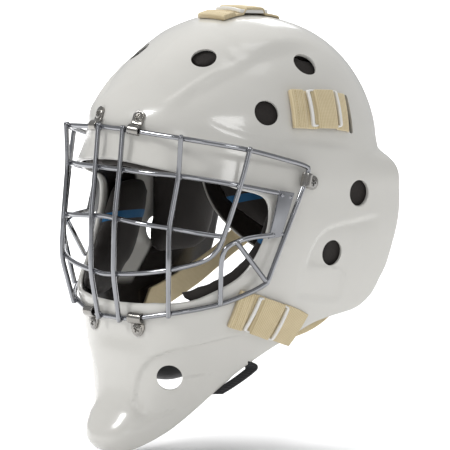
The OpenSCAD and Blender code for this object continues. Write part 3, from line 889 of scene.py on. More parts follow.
@dataclass(frozen=True)
class MouldedPlastic:
    """Injection moulded plastic: satin, with a fine spark-eroded grain."""

    name: str
    colour: str
    shade: str
    roughness: float = 0.42
    grain_mm: float = 0.8
    flow_mm: float = 30.0

    def build(self) -> bpy.types.Material:
        """The material."""
        made, tree, shader = new_finish(self.name)
        place = place_on(tree)
        grain = noise(tree, place, self.grain_mm)
        feed(tree, shader, {
            "Base Color": mixed(tree, noise(tree, place, self.flow_mm, 3.0), self.colour, self.shade),
            "Roughness": remap(tree, grain, (0.0, 1.0), (self.roughness - 0.06, self.roughness + 0.08)),
            "Normal": bumped(tree, grain, 0.12, 0.1), "IOR": 1.49})
        return made


@dataclass(frozen=True)
class Finishes:
    """Every material the mask wears, each built once."""

    shell: bpy.types.Material = field(default_factory=lambda: GlossShell().build())
    chrome: bpy.types.Material = field(default_factory=lambda: PlatedSteel(
        "chromed_steel_wire", "#A3A4A8", 0.07).build())
    clip: bpy.types.Material = field(default_factory=lambda: PlatedSteel(
        "nickel_plated_strip", "#9E988C", 0.17).build())
    rivet: bpy.types.Material = field(default_factory=lambda: PlatedSteel(
        "satin_nickel_rivet", "#BDBBB6", 0.30).build())
    cream: bpy.types.Material = field(default_factory=lambda: WovenElastic(
        "cream_woven_elastic", "#D9CAA6", "#B8A57E").build())
    black_web: bpy.types.Material = field(default_factory=lambda: WovenElastic(
        "black_nylon_webbing", "#26262A", "#0F0F11").build())
    thread: bpy.types.Material = field(default_factory=lambda: WovenElastic(
        "bonded_thread", "#CDBB92", "#A8946C", 0.5, 0.5, 0.05).build())
    glide: bpy.types.Material = field(default_factory=lambda: MouldedPlastic(
        "white_acetal", "#E9E8E4", "#DDDCD8", 0.35).build())
    cup: bpy.types.Material = field(default_factory=lambda: MouldedPlastic(
        "black_moulded_nylon", "#1A1A1C", "#111113", 0.45).build())
    foam: bpy.types.Material = field(default_factory=lambda: KnitFoam(
        "knit_covered_foam", "#1B1613", "#241E1A").build())
    banded: bpy.types.Material = field(default_factory=lambda: KnitFoam(
        "knit_covered_foam_with_band", "#1B1613", "#241E1A", band="#115580",
        band_height=13.0, band_mm=7.0).build())
    sweatband: bpy.types.Material = field(default_factory=lambda: KnitFoam(
        "brushed_sweatband", "#2A2522", "#3A3430", 1.8).build())


# ---- shell -----------------------------------------------------------------------------------


@dataclass(frozen=True)
class Crease:
    """A soft line in the shell; the surface steps down on the left of its run of points."""

    points: tuple[Point, ...]
    depth: float = 1.3
    width: float = 4.5
    reach: float = 30.0

    def dent(self, spots: np.ndarray, normals: np.ndarray, mirrored: bool) -> np.ndarray:
        """How far the surface sinks at each spot.

        Args:
            spots: surface points in millimetres, shape (n, 3).
            normals: their outward normals.
            mirrored: whether to use the crease's mirror image.

        Returns:
            Depths in millimetres, none below 0.
        """
        line = smooth_run(np.array(self.points), 5)
        if mirrored:
            line = flip(line)[::-1]
        marks = lengths_of(line) / lengths_of(line)[-1]
        near = np.full(len(spots), 1e9)
        signed, share = np.zeros(len(spots)), np.zeros(len(spots))
        for i in range(len(line) - 1):
            a, run = line[i], line[i + 1] - line[i]
            t = np.clip((spots - a) @ run / (run @ run), 0, 1)
            off = spots - (a + t[:, None] * run)
            far = np.linalg.norm(off, axis=1)
            side = np.sign(np.sum(np.cross(normals, unit(run)) * off, axis=1))
            closer = far < near
            near = np.where(closer, far, near)
            signed = np.where(closer, far * side, signed)
            share = np.where(closer, marks[i] + t * (marks[i + 1] - marks[i]), share)
        fade = smooth(0.0, 0.16, share) * (1 - smooth(0.84, 1.0, share))
        sink = smooth(-self.width / 2, self.width / 2, signed) * np.exp(-np.maximum(signed, 0) / self.reach)
        return self.depth * fade * sink * (1 - smooth(40, 62, near))


@dataclass
class Shell:
    """The moulded shell with its creases, vents, strap slots and rounded lips."""

    shape: MaskShape
    finishes: Finishes
    cols: int = 360
    rows: int = 84
    lip_steps: int = 6
    edge_inset_deg: float = 0.7
    vent_radius: float = 10.0
    vent_round: float = 1.6
    vents: tuple[Point, ...] = (
        (38.5, -78.5, 125.5), (76.5, -6, 118), (88.5, -57.5, 84), (107, 24, 17), (106, -4, -28),
        (47, -121.5, -121))
    crown_slot: Point = (0.0, 26.4, 146.8)
    slots: tuple[tuple[Point, Point], ...] = (
        ((97.0, 22.3, 78.9), (0.0, 1.0, -0.1)),
    )
    creases: tuple[Crease, ...] = (
        Crease(((34, -121, 88), (37.7, -116.7, 94), (45.2, -103.8, 103.9), (50, -87.6, 113.5), (54.6, -72.7, 120.1),
                (58.8, -56, 125.3), (60.9, -43.2, 128.6)), 1.7, 6.0, 26.0),
        Crease(((56.8, -103.6, 91.2), (53.8, -99.2, 97.9), (52.4, -94.3, 104.8), (54.7, -86.4, 108.7),
                (58, -73.4, 114.8), (60.1, -56.6, 123.1)), 1.2, 6.0, 20.0),
        Crease(((60.6, -106.7, 83.8), (77.2, -91.2, 73.5), (89.7, -70.4, 66.4), (97.7, -48.5, 62.4),
                (102.8, -23.3, 58.6), (104.5, 1.1, 55), (101.9, 31, 49.8)), 1.3, 6.0, 30.0),
        Crease(((107, 48, -2), (107, 36, -3), (107, 3, -6), (107, -11, -9), (107, -22, -17), (105, -29, -32),
                (104, -30, -42)), 1.9, 4.0, 26.0),
        Crease(((99, -42, -59), (101, -15, -63), (99, 11, -67)), 1.3, 8.0, 24.0),
        Crease(((90, -60, -86), (87, -69, -87), (78, -91, -90), (59, -116, -97), (42, -128, -103), (33, -133, -110),
                (26, -135, -121), (23, -137, -135), (24, -137, -148), (33, -133, -153), (53, -102, -144)),
               2.2, 4.5, 34.0),
    )

    def _surface(self) -> tuple[np.ndarray, np.ndarray]:
        """Grids of outer and inner points, from the face edge to the outer edge."""
        turns = np.linspace(-180, 180, self.cols, endpoint=False)
        start = self.shape.face_tilt(turns) + self.edge_inset_deg
        end = self.shape.outer_tilt(turns) - self.edge_inset_deg
        share = np.linspace(0, 1, self.rows)[:, None]
        grid = self.shape.skin(start + (end - start) * share, turns[None, :])
        across = np.roll(grid, -1, axis=1) - np.roll(grid, 1, axis=1)
        down = np.concatenate([grid[1:], grid[-1:]]) - np.concatenate([grid[:1], grid[:-1]])
        normals = unit(np.cross(across, down))
        dents = self._dents(grid.reshape(-1, 3), normals.reshape(-1, 3)).reshape(grid.shape[:2])
        return grid - normals * dents[..., None], grid - normals * self.shape.wall

    def _dents(self, spots: np.ndarray, normals: np.ndarray) -> np.ndarray:
        """How far all the creases together sink each spot."""
        total = np.zeros(len(spots))
        for crease in self.creases:
            for mirrored in (False, True):
                mine = spots[:, 0] * (-1 if mirrored else 1) > 0
                total[mine] += crease.dent(spots[mine], normals[mine], mirrored)
        return total

    def _lip(self, outer: np.ndarray, inner: np.ndarray, ahead: np.ndarray) -> np.ndarray:
        """Rows that round an edge over from the outer to the inner row."""
        middle, half = (outer + inner) / 2, (outer - inner) / 2
        flat = unit(ahead - half * np.sum(ahead * half, axis=-1, keepdims=True)
                    / np.sum(half * half, axis=-1, keepdims=True))
        size = np.linalg.norm(half, axis=-1, keepdims=True)
        rows = []
        for k in range(1, self.lip_steps):
            angle = math.pi * k / self.lip_steps
            rows.append(middle + half * math.cos(angle) + flat * size * math.sin(angle))
        return np.array(rows)

    def _spool(self, at: np.ndarray) -> tuple[np.ndarray, Faces]:
        """A cutter for one vent, flared at both faces of the wall."""
        base, normal = self.shape.settle(at), self.shape.normal_at(at)
        profile = [(self.vent_radius + 9, 9.0)]
        for angle in (0, 20, 40, 60, 75, 90):
            a = math.radians(angle)
            profile.append((self.vent_radius + self.vent_round * (1 - math.sin(a)),
                            0.2 - self.vent_round * (1 - math.cos(a))))
        profile += [(r, -self.shape.wall - h) for r, h in profile[:0:-1]]
        profile.append((self.vent_radius + 9, -self.shape.wall - 9.0))
        points, faces = revolve(profile, 56)
        side = unit(np.cross(normal, [0.0, 0.0, 1.0]))
        turn = np.stack([side, np.cross(normal, side), normal], axis=1)
        return points @ turn.T + base, faces

    def _slot(self, at: np.ndarray, run: np.ndarray, width: float = 28.6,
              depth: float = 4.2) -> tuple[np.ndarray, Faces]:
        """A cutter for a strap slot, long across the strap."""
        base, normal = self.shape.settle(at), self.shape.normal_at(at)
        run = unit(run - normal * np.dot(run, normal))
        side = np.cross(normal, run)
        loop = rounded_loop(width + 3, depth, depth / 2 - 0.1, 8)
        rings = [base + side * loop[:, :1] + run * (loop[:, 1:] - depth / 2) + normal * h
                 for h in (-9.0, 9.0)]
        return loft(np.array(rings))

    def build(self) -> bpy.types.Object:
        """The finished shell."""
        outer, inner = self._surface()
        far = self._lip(outer[-1], inner[-1], outer[-1] - outer[-2])
        near = self._lip(outer[0], inner[0], outer[0] - outer[1])[::-1]
        skin = np.concatenate([outer, far, inner[::-1], near])
        faces = grid_faces(len(skin), self.cols, True, True)
        piece = make_object("shell_moulding", skin, faces, self.finishes.shell)
        cutters = []
        for vent in self.vents:
            for place in (np.array(vent, float), flip(np.array(vent))):
                cutters.append(self._spool(place))
        for at, run in self.slots:
            cutters.append(self._slot(np.array(at), np.array(run)))
            cutters.append(self._slot(flip(np.array(at)), flip(np.array(run))))
        cutters.append(self._slot(np.array(self.crown_slot), np.array([0.0, 1.0, -0.2])))
        cut_away(piece, cutters)
        self._shade(piece)
        self._mark_inside(piece)
        return finish_piece(piece, Body.MASK, "shell_white", "shell")

    def _mark_inside(self, piece: bpy.types.Object) -> None:
        """Marks the inner face for painted shade, except the bare strip between the cheek and ear pads."""
        spots = coordinates(piece.data) / MM
        tilt, turn = self.shape.angles(spots)
        base, normal = self.shape.skin(tilt, turn), self.shape.normal(tilt, turn)
        deep = -np.sum((spots - base) * normal, axis=1)
        side = np.abs(turn)
        after = tilt - self.shape.face_tilt(turn)
        strip = smooth(20, 22, after) * (1 - smooth(38, 40, after)) * smooth(56, 60, side) * (1 - smooth(112, 118, side))
        # inside: how much painted shade each point of the inner face takes
        inside = smooth(0.7, 0.9, deep / self.shape.wall) * smooth(1.5, 3.0, after) * (1 - strip)
        mark_inside(piece, inside)

    def _shade(self, piece: bpy.types.Object) -> None:
        """Gives the faces near the cuts the shell's own smooth normals."""
        mesh = piece.data
        spots = coordinates(mesh) / MM
        places = [np.array(v, float) * s for v in self.vents for s in ((1, 1, 1), (-1, 1, 1))]
        places += [np.array(v, float) * s for v, _ in self.slots for s in ((1, 1, 1), (-1, 1, 1))]
        places.append(np.array(self.crown_slot))
        reach = np.full(len(spots), 1e9)
        for place in places:
            reach = np.minimum(reach, np.linalg.norm(spots - self.shape.settle(place), axis=1))
        mesh.set_sharp_from_angle(angle=math.radians(32))
        wanted = np.where(reach < 26)[0]
        skin_normals = np.zeros_like(spots)
        skin_normals[wanted] = self._dented_normal(spots[wanted])
        corner = np.zeros(len(mesh.loops), dtype=np.int32)
        mesh.loops.foreach_get("vertex_index", corner)
        starts = np.zeros(len(mesh.polygons), dtype=np.int32)
        totals = np.zeros(len(mesh.polygons), dtype=np.int32)
        mesh.polygons.foreach_get("loop_start", starts)
        mesh.polygons.foreach_get("loop_total", totals)
        facing = np.zeros(len(mesh.polygons) * 3)
        mesh.polygons.foreach_get("normal", facing)
        facing = np.repeat(facing.reshape(-1, 3), totals, axis=0)
        order = np.concatenate([np.arange(s, s + n) for s, n in zip(starts, totals)])
        by_loop = np.zeros((len(mesh.loops), 3))
        by_loop[order] = facing
        given = skin_normals[corner]
        lean = np.sum(given * by_loop, axis=1)
        custom = np.where((lean > 0.93)[:, None], given, 0.0)
        custom = np.where((lean < -0.93)[:, None], -given, custom)
        mesh.normals_split_custom_set(custom.tolist())

    def _dented_normal(self, spots: np.ndarray) -> np.ndarray:
        """Normals of the creased surface at spots."""
        tilt, turn = self.shape.angles(spots)
        step = 0.7
        around = []
        for a, b in ((0, step), (0, -step), (step, 0), (-step, 0)):
            p = self.shape.skin(tilt + a, turn + b)
            n = self.shape.normal(tilt + a, turn + b)
            around.append(p - n * self._dents(p, n)[:, None])
        return unit(np.cross(around[0] - around[1], around[2] - around[3]))


# ---- cage --------------------------------------------------------------------------------------


@dataclass
class Cage:
    """The welded wire cage with its side plates and weld beads."""

    shape: MaskShape
    finishes: Finishes
    wires: RoundWire
    scatter: Scatter
    radius: float = 2.0
    gap: float = 3.0
    plate_thick: float = 1.6
    top_bar: tuple[Point, ...] = (
        (0, -138, 71), (15, -137, 71), (42, -132, 69), (66, -125, 67), (88, -108, 63),
        (101, -87, 58), (109, -60, 50), (111, -38, 43), (111, -35, 38), (111, -43, 21),
        (110, -59, -11), (106, -73, -45))
    lower_rim: tuple[Point, ...] = (
        (0, -139.8, -76), (14.3, -139.5, -76), (31.4, -137.2, -74), (59.5, -125.9, -68.4),
        (75.5, -112.4, -64.4), (87, -97.6, -59.8), (100, -81, -51), (106, -73, -45))
    brow_bar: tuple[Point, ...] = (
        (0, -141, 40), (16, -140, 40), (40, -136, 39), (63, -126, 38), (83, -111, 35), (98, -94, 31),
        (108, -60, 23))
    nose_bar: tuple[Point, ...] = (
        (0, -146, 3), (14, -145, 2), (39, -142, 0), (60, -133, -2), (78, -121, -5),
        (91.5, -106.5, -8))
    eye_wire: tuple[Point, ...] = (
        (0, -147, -42), (14, -146, -41), (40, -142, -38), (62, -134, -34), (80, -120, -28),
        (89, -113, -21), (94, -108, -9), (101, -96.5, 31), (104, -89, 60))

    def on_bar(self, points: tuple[Point, ...], x: float) -> np.ndarray:
        """The centre of a bar at a distance from the mirror plane."""
        run = smooth_run(np.array(points), 2)
        i = int(np.clip(np.searchsorted(run[:, 0], x, side="right") - 1, 0, len(run) - 2))
        a, b = run[i], run[i + 1]
        return a + (b - a) * (x - a[0]) / (b[0] - a[0])

    def weld(self, points: tuple[Point, ...], x: float) -> np.ndarray:
        """Where a wire lies when it is welded across a bar's outer side."""
        p = self.on_bar(points, x)
        out = unit(np.array([p[0], p[1] - self.shape.eye[1], 0.0]))
        return p + out * 2 * self.radius * 0.88

    def _uprights(self) -> dict[str, np.ndarray]:
        """Centre lines of the left half's upright and slanting wires."""
        bars = (self.top_bar, self.brow_bar, self.nose_bar, self.eye_wire, self.lower_rim)
        centre = [self.weld(b, x) for b, x in zip(bars, (14, 14, 13.5, 13, 12))]
        side = [self.weld(b, x) for b, x in zip(bars, (66, 64, 61, 62, 55))]
        cheek = [self.weld(self.lower_rim, 84), (93, -109, -26), (96.5, -107.5, -15), (103, -92, -9),
                 (108.5, -70, -8)]
        return {"center_wire": np.array(centre), "side_wire": np.array(side),
                "cheek_wire": np.array(cheek, float),
                "brace": np.array([(101, -100, -12), (107, -76, -43)], float)}

    def _draw(self, name: str, points: np.ndarray, longer: float = 0.0) -> None:
        """Draws one wire, its ends run on past their welds by longer."""
        straight = len(points) <= 5
        path = rounded_path(points, 9.0, self.gap / 2) if straight else even_run(points, self.gap)
        forward = steps_of(path)
        if longer:
            path = np.concatenate([[path[0] - forward[0] * longer], path, [path[-1] + forward[-1] * longer]])
        piece = self.wires.draw(f"wire_{name}", path, self.radius, self.finishes.chrome)
        finish_piece(piece, Body.MASK, "cage_chrome", f"cage_{name}")

    def _plates(self) -> None:
        """The flat plates that tie the bars at each temple."""
        front = even_run(np.array([(107.6, -63, 26), (107.8, -68, 8), (107, -74, -11)]), 3.0)
        rear = even_run(np.array([(109.6, -49, 23), (109.2, -55, 8), (108.6, -62, -10)]), 3.0)
        count = min(len(front), len(rear))
        pick = [np.linspace(0, len(p) - 1, count) for p in (front, rear)]
        front, rear = (np.stack([np.interp(k, np.arange(len(p)), p[:, c]) for c in range(3)], axis=1)
                       for k, p in zip(pick, (front, rear)))
        share = np.linspace(0, 1, 7)[:, None, None]
        inner = front[None] * (1 - share) + rear[None] * share
        outer = inner + np.array([self.plate_thick, 0, 0])
        rings = np.concatenate([outer, inner[::-1]]).transpose(1, 0, 2)
        points, faces = loft(rings)
        for side in Side:
            piece = make_object(f"side_plate_{side.word}", points * (side.value, 1, 1), faces,
                                self.finishes.chrome)
            bevel(piece, 0.5)
            finish_piece(piece, Body.MASK, "cage_chrome", f"cage_side_plate_{side.word}")

    def _beads(self) -> None:
        """The weld beads where wires cross."""
        bars = (self.top_bar, self.brow_bar, self.nose_bar, self.eye_wire, self.lower_rim)
        spots, outs, runs = [], [], []
        for xs in ((14, 14, 13.5, 13, 12), (66, 64, 61, 62, 55)):
            for bar, x in zip(bars, xs):
                p = self.on_bar(bar, x)
                out = unit(np.array([p[0], p[1] - self.shape.eye[1], 0.0]))
                for way in (-1, 1):
                    spots.append(p + out * self.radius * 0.9 + np.array([0, 0, way * 1.6]))
                    outs.append(out)
                    runs.append(np.cross(out, [0, 0, 1.0]))
        extra = [(106.5, -73.5, -45), (84, -96, -60), (101, -97.5, 31), (104, -88, 59), (101, -99, -11),
                 (91.5, -108, -8), (110.2, -61, 22), (110.2, -53, 20), (109.6, -70, -8), (109.8, -61, -8)]
        for p in np.array(extra, float):
            spots.append(p)
            outs.append(unit(np.array([p[0], (p[1] - self.shape.eye[1]) * 0.3, 0.0])))
            runs.append(np.array([0, 0, 1.0]))
        spots, outs, runs = np.array(spots), np.array(outs), np.array(runs)
        blob = revolve([(0.05, 1.15), (0.8, 1.0), (1.45, 0.6), (1.7, 0.0), (1.45, -0.6), (0.05, -1.1)], 12)
        piece = self.scatter.place(
            "weld_beads", blob, np.concatenate([spots, flip(spots)]), np.concatenate([outs, flip(outs)]),
            np.concatenate([runs, flip(runs)]), self.finishes.chrome)
        finish_piece(piece, Body.MASK, "cage_chrome")

    def build(self) -> None:
        """Makes every wire, plate and bead."""
        for name in ("top_bar", "lower_rim", "brow_bar", "nose_bar", "eye_wire"):
            self._draw(name, both(np.array(getattr(self, name), float)))
        for name, line in self._uprights().items():
            longer = 2.2 if name in ("center_wire", "side_wire") else 0.0
            for side in Side:
                half = line if side is Side.LEFT else flip(line)
                self._draw(f"{name}_{side.word}", half, longer)
        self._plates()
        self._beads()


# ---- clips and fasteners ------------------------------------------------------------------------


@dataclass(frozen=True)
class ClipPlace:
    """One cage clip: its node, the screw's place, the wire's place and its width."""

    node: str
    screw: Point
    wire: Point
    width: float


@dataclass
class Fixings:
    """Cage clips with their cross-head screws and nuts, and the strap rivets."""

    shape: MaskShape
    finishes: Finishes
    scatter: Scatter
    thick: float = 1.3
    places: tuple[ClipPlace, ...] = (
        ClipPlace("brow_clip", (23, -132, 81), (23, -136, 71), 10.5),
        ClipPlace("chin_clip", (27, -140, -86.4), (27, -138, -74.5), 13.0),
        ClipPlace("side_clip", (106, -27, 29), (111, -37, 32), 11.0))

    def _clip(self, place: ClipPlace) -> tuple[np.ndarray, Faces]:
        """A bent strip, round at its screw, that hooks over the wire."""
        p, w = np.array(place.screw, float), np.array(place.wire, float)
        n = self.shape.normal_at(p)
        down = unit((w - p) - n * np.dot(w - p, n))
        side = np.cross(down, n)
        base = self.shape.settle(p, 0.3)
        hook, rise = float(np.dot(w - base, down)), float(np.dot(w - base, n))
        run = np.array([(-5.6, 0, 0), (-2, 0, 0), (hook - 5.4, 0, 0), (hook - 3.7, rise * 0.5 + 0.4, 0),
                        (hook - 2.6, rise + 1.7, 0), (hook - 0.4, rise + 2.9, 0), (hook + 2.0, rise + 2.2, 0),
                        (hook + 2.9, rise + 0.2, 0), (hook + 2.2, rise - 1.6, 0)])
        path = even_run(run, 0.7)[:, :2]
        ahead = steps_of(np.c_[path, np.zeros(len(path))])[:, :2]
        up = np.stack([-ahead[:, 1], ahead[:, 0]], axis=1)
        half = np.full(len(path), place.width / 2)
        round_end = path[:, 0] < 0
        radius = 5.7
        half[round_end] = np.minimum(half[round_end], np.sqrt(np.maximum(
            radius ** 2 - path[round_end, 0] ** 2, 0.5)))
        tail = lengths_of(np.c_[path, np.zeros(len(path))])
        ending = tail[-1] - tail
        half = half - 1.3 * (1 - np.clip(ending / 1.4, 0, 1)) ** 2
        rings = []
        for q, a, h in zip(path, up, half):
            loop = rounded_loop(2 * h, self.thick, 0.45, 6)
            flat = q + a * loop[:, 1:]
            rings.append(base + side * loop[:, :1] + down * flat[:, :1] + n * flat[:, 1:])
        return loft(np.array(rings))

    def _screw_head(self) -> tuple[np.ndarray, Faces]:
        """A domed head with a cross recess, as rings of a fine grid."""
        sides = 64
        angle = np.arange(sides) * 2 * math.pi / sides
        rings = []
        for r in np.concatenate([np.linspace(0.12, 4.3, 22), [4.46, 4.5, 4.44, 4.2]]):
            x, y = r * np.cos(angle), r * np.sin(angle)
            top = 1.0 + 1.9 * np.sqrt(np.maximum(1 - (r / 5.0) ** 2, 0)) * np.ones(sides)
            arm = np.minimum(np.abs(x), np.abs(y))
            long = np.maximum(np.abs(x), np.abs(y))
            recess = (1 - smooth(0.42, 0.72, arm)) * (1 - smooth(2.1, 2.9, long))
            rings.append(np.stack([x, y, top - 1.5 * recess], axis=1))
        rings[-3][:, 2] = 1.7
        rings[-2][:, 2] = 1.35
        rings[-1][:, 2] = 1.25
        rings.append(np.stack([3.9 * np.cos(angle), 3.9 * np.sin(angle), np.full(sides, 1.25)], axis=1))
        return loft(np.array(rings))

    def _nut(self) -> tuple[np.ndarray, Faces]:
        """A hexagon nut with chamfered corners and a screw's rounded end in it."""
        angle = np.radians(np.arange(24) * 15.0)
        share = 1 / np.cos((np.degrees(angle) + 30) % 60 * math.pi / 180 - math.pi / 6)
        hexagon = 3.5 * share
        rings = []
        for h, most in ((0.0, 3.55), (0.35, 4.1), (2.65, 4.1), (3.0, 3.55)):
            r = np.minimum(hexagon, most)
            rings.append(np.stack([r * np.cos(angle), r * np.sin(angle), np.full(24, h)], axis=1))
        end = revolve([(0.05, -1.9), (1.2, -1.8), (1.9, -1.3), (2.0, -0.6), (2.0, 0.5), (0.05, 0.5)], 24)
        return join_parts([loft(np.array(rings)), end])

    def rivet(self, radius: float = 4.0, height: float = 1.5) -> tuple[np.ndarray, Faces]:
        """A low domed rivet head with a pierced middle."""
        return revolve([(0.05, 0.35), (0.9, 0.4), (1.25, 0.75), (1.5, height), (radius * 0.6, height * 0.98),
                        (radius * 0.85, height * 0.72), (radius * 0.98, height * 0.3), (radius, 0.1),
                        (radius * 0.97, 0.0), (0.05, 0.0)], 28)

    def build(self) -> None:
        """Makes the clips, the screws and the nuts."""
        for place in self.places:
            points, faces = self._clip(place)
            for side in Side:
                piece = make_object(f"{place.node}_strip_{side.word}", points * (side.value, 1, 1), faces,
                                    self.finishes.clip)
                finish_piece(piece, Body.MASK, "clip_steel", f"{place.node}_{side.word}")
        spots = np.array([p.screw for p in self.places], float)
        spots = np.concatenate([spots, flip(spots)])
        normals = self.shape.normal_at(spots)
        spins = np.stack([np.cross(n, unit(np.array([0.3 + 0.2 * i, 0.1, 1.0]))) for i, n in enumerate(normals)])
        heads = self.scatter.place("cross_head_screws", self._screw_head(), self.shape.settle(spots), normals,
                                   spins, self.finishes.clip)
        finish_piece(heads, Body.MASK, "clip_steel", "clip_screws")
        nuts = self.scatter.place("screw_nuts", self._nut(), self.shape.settle(spots, -self.shape.wall - 4.2),
                                  normals, spins, self.finishes.clip)
        finish_piece(nuts, Body.MASK, "clip_steel", "clip_nuts")


# ---- straps ----------------------------------------------------------------------------------------


@dataclass(frozen=True)
class StrapLine:
    """One strap on the shell: its line, its glide's place and what it is called."""

    name: str
    points: tuple[Point, ...]
    middle: Point
    mirrored: bool
    sinks: bool


@dataclass
class Straps:
    """Elastic straps on the shell, their slide frames, stitches and rivets, and the links behind."""

    shape: MaskShape
    finishes: Finishes
    scatter: Scatter
    fixings: Fixings
    width: float = 31.0
    thick: float = 2.0
    lift: float = 0.4
    link_width: float = 25.0
    glide_length: float = 28.0
    bar: float = 2.7
    rail: float = 1.4
    fold: float = 2.3
    lines: tuple[StrapLine, ...] = (
        StrapLine("crown", ((0, -36, 150), (0, -14, 150), (0, 8, 150), (0, 26, 147)), (0, -4, 150), False, True),
        StrapLine("upper", ((93, -37, 86), (96, -18, 84), (97, 2, 82), (97, 22, 79)), (96, -7, 83), True, True),
        StrapLine("lower", ((86, -90, -65), (91, -70, -71), (93, -46, -80), (92, -29, -87)), (92, -63, -74), True,
                  False))

    def _webbing(self, path: np.ndarray, sides: np.ndarray, lifts: np.ndarray, widths: np.ndarray,
                 thicks: np.ndarray) -> tuple[np.ndarray, Faces, np.ndarray]:
        """Webbing laid on the shell, with UVs in metres."""
        marks = lengths_of(path)
        spots, heights, uv = [], [], []
        for i, p in enumerate(path):
            loop = rounded_loop(widths[i], thicks[i], 0.7, 10)
            spots.append(p + sides[i] * loop[:, :1])
            heights.append(lifts[i] + loop[:, 1])
            uv.append(np.stack([(loop[:, 0] + 100) * MM, np.full(len(loop), marks[i] * MM)], axis=1))
        spots, heights = np.array(spots), np.array(heights)
        rings = self.shape.settle(spots, heights)
        points, faces = loft(rings)
        return points, faces, np.array(uv).reshape(-1, 2)

    def _laid(self, line: StrapLine) -> None:
        """One strap, folded at its front end and raised over its slide frame."""
        path = even_run(np.array(line.points, float), 1.0)
        marks = lengths_of(path)
        normals = self.shape.normal_at(path)
        sides = unit(np.cross(steps_of(path), normals))
        centre = marks[np.argmin(np.linalg.norm(path - np.array(line.middle), axis=1))]
        off = marks - centre
        half = self.glide_length / 2 - self.bar / 2
        over = smooth(-half + 1.0, -half + 4.5, off) * (1 - smooth(half - 4.5, half - 1.0, off))
        folded = 1 - smooth(11.5, 12.8, marks)
        lifts = self.lift + 4.1 * over
        if line.sinks:
            lifts = lifts - 6.5 * smooth(marks[-1] - 5.5, marks[-1] + 0.5, marks) ** 1.3
        thicks = self.thick + self.fold * folded
        thicks = thicks * (0.55 + 0.45 * smooth(-0.2, 1.2, marks))
        widths = np.full(len(path), self.width - 0.6)
        widths = widths - 0.2 * over
        if not line.sinks:
            widths = widths - 1.0 * smooth(marks[-1] - 10, marks[-1], marks)
        points, faces, uv = self._webbing(path, sides, lifts, widths, thicks)
        for side in Side if line.mirrored else (None,):
            sign = side.value if side else 1
            suffix = f"_{side.word}" if side else ""
            piece = make_object(f"{line.name}_webbing{suffix}", points * (sign, 1, 1), faces,
                                self.finishes.cream)
            add_uv(piece, uv)
            finish_piece(piece, Body.MASK, "webbing_cream", f"{line.name}_strap{suffix}")
            self._glide(line, sign, suffix, steps_of(path)[np.argmin(np.abs(off))])
            self._stitches(line, path, sides, normals, sign, suffix)

    def _stitches(self, line: StrapLine, path: np.ndarray, sides: np.ndarray, normals: np.ndarray,
                  sign: int, suffix: str) -> None:
        """Rows of thread across the folded front end."""
        marks = lengths_of(path)
        spots, outs, runs = [], [], []
        for at in (4.2, 8.6):
            i = int(np.argmin(np.abs(marks - at)))
            for across in np.arange(-13.2, 13.3, 2.2):
                spots.append(path[i] + sides[i] * across)
                runs.append(sides[i])
        spots, runs = np.array(spots), np.array(runs)
        outs = self.shape.normal_at(spots)
        spots = self.shape.settle(spots, self.lift + self.thick + self.fold - 0.08)
        angle = np.radians(np.arange(6) * 60.0)
        rings = [np.stack([np.full(6, x), r * np.cos(angle), r * np.sin(angle)], axis=1)
                 for x, r in ((-0.85, 0.08), (-0.6, 0.3), (0.0, 0.36), (0.6, 0.3), (0.85, 0.08))]
        mirror = np.array([sign, 1, 1])
        piece = self.scatter.place(f"{line.name}_stitches{suffix}", loft(np.array(rings)), spots * mirror,
                                   outs * mirror, runs * mirror, self.finishes.thread)
        add_uv(piece, coordinates(piece.data)[:, [0, 2]])
        finish_piece(piece, Body.MASK, "webbing_cream")

    def _glide(self, line: StrapLine, sign: int, suffix: str, run: np.ndarray) -> None:
        """The white slide frame: a rounded frame with a bar across its middle."""
        at = np.array(line.middle, float)
        normal = self.shape.normal_at(at)
        base = self.shape.settle(at, self.lift + self.thick - 0.6)
        run = unit(run - normal * np.dot(run, normal))
        side = np.cross(normal, run)
        length, across, corner = self.glide_length, self.width - 2.4, 2.0
        centre = []
        for sx, sy, start in ((1, 1, 0), (-1, 1, 90), (-1, -1, 180), (1, -1, 270)):
            cx, cy = sx * (length / 2 - corner), sy * (across / 2 - corner)
            for k in range(7):
                a = math.radians(start + 15 * k)
                centre.append((cx + corner * math.cos(a), cy + corner * math.sin(a)))
        centre = np.array(centre)
        dense = []
        for i in range(len(centre)):
            a, b = centre[i], centre[(i + 1) % len(centre)]
            for k in range(4 if np.linalg.norm(b - a) > 4 else 1):
                dense.append(a + (b - a) * k / 4)
        centre = np.array(dense)
        ahead = np.roll(centre, -1, axis=0) - np.roll(centre, 1, axis=0)
        out = unit(np.stack([ahead[:, 1], -ahead[:, 0]], axis=1))
        angle = np.radians(np.arange(16) * 22.5)
        wide = np.where(np.abs(out[:, :1]) > 0.7, self.bar, self.rail) / 2
        curve = np.power(np.abs(np.cos(angle)), 0.6) * np.sign(np.cos(angle))
        rise = np.power(np.abs(np.sin(angle)), 0.6) * np.sign(np.sin(angle)) * 1.5 + 1.9
        flat = centre[:, None, :] + out[:, None, :] * (wide * curve[None, :])[..., None]
        drop = -(flat[..., 1] / (across / 2)) ** 2 * 1.3
        rings = (base + flat[..., :1] * run + flat[..., 1:] * side
                 + (rise[None, :] + drop)[..., None] * normal)
        cross = []
        for y in np.linspace(-across / 2 + 1, across / 2 - 1, 9):
            ring = [base + run * (1.6 * c) + side * y + normal * (1.3 + 0.8 * (r - 1.9) - 1.3 * (y * 2 / across) ** 2)
                    for c, r in zip(curve, rise)]
            cross.append(ring)
        points, faces = join_parts([loft(rings, True), loft(np.array(cross))])
        piece = make_object(f"{line.name}_slide_frame{suffix}", points * (sign, 1, 1), faces, self.finishes.glide)
        finish_piece(piece, Body.MASK, "glide_white", f"{line.name}_glide{suffix}")

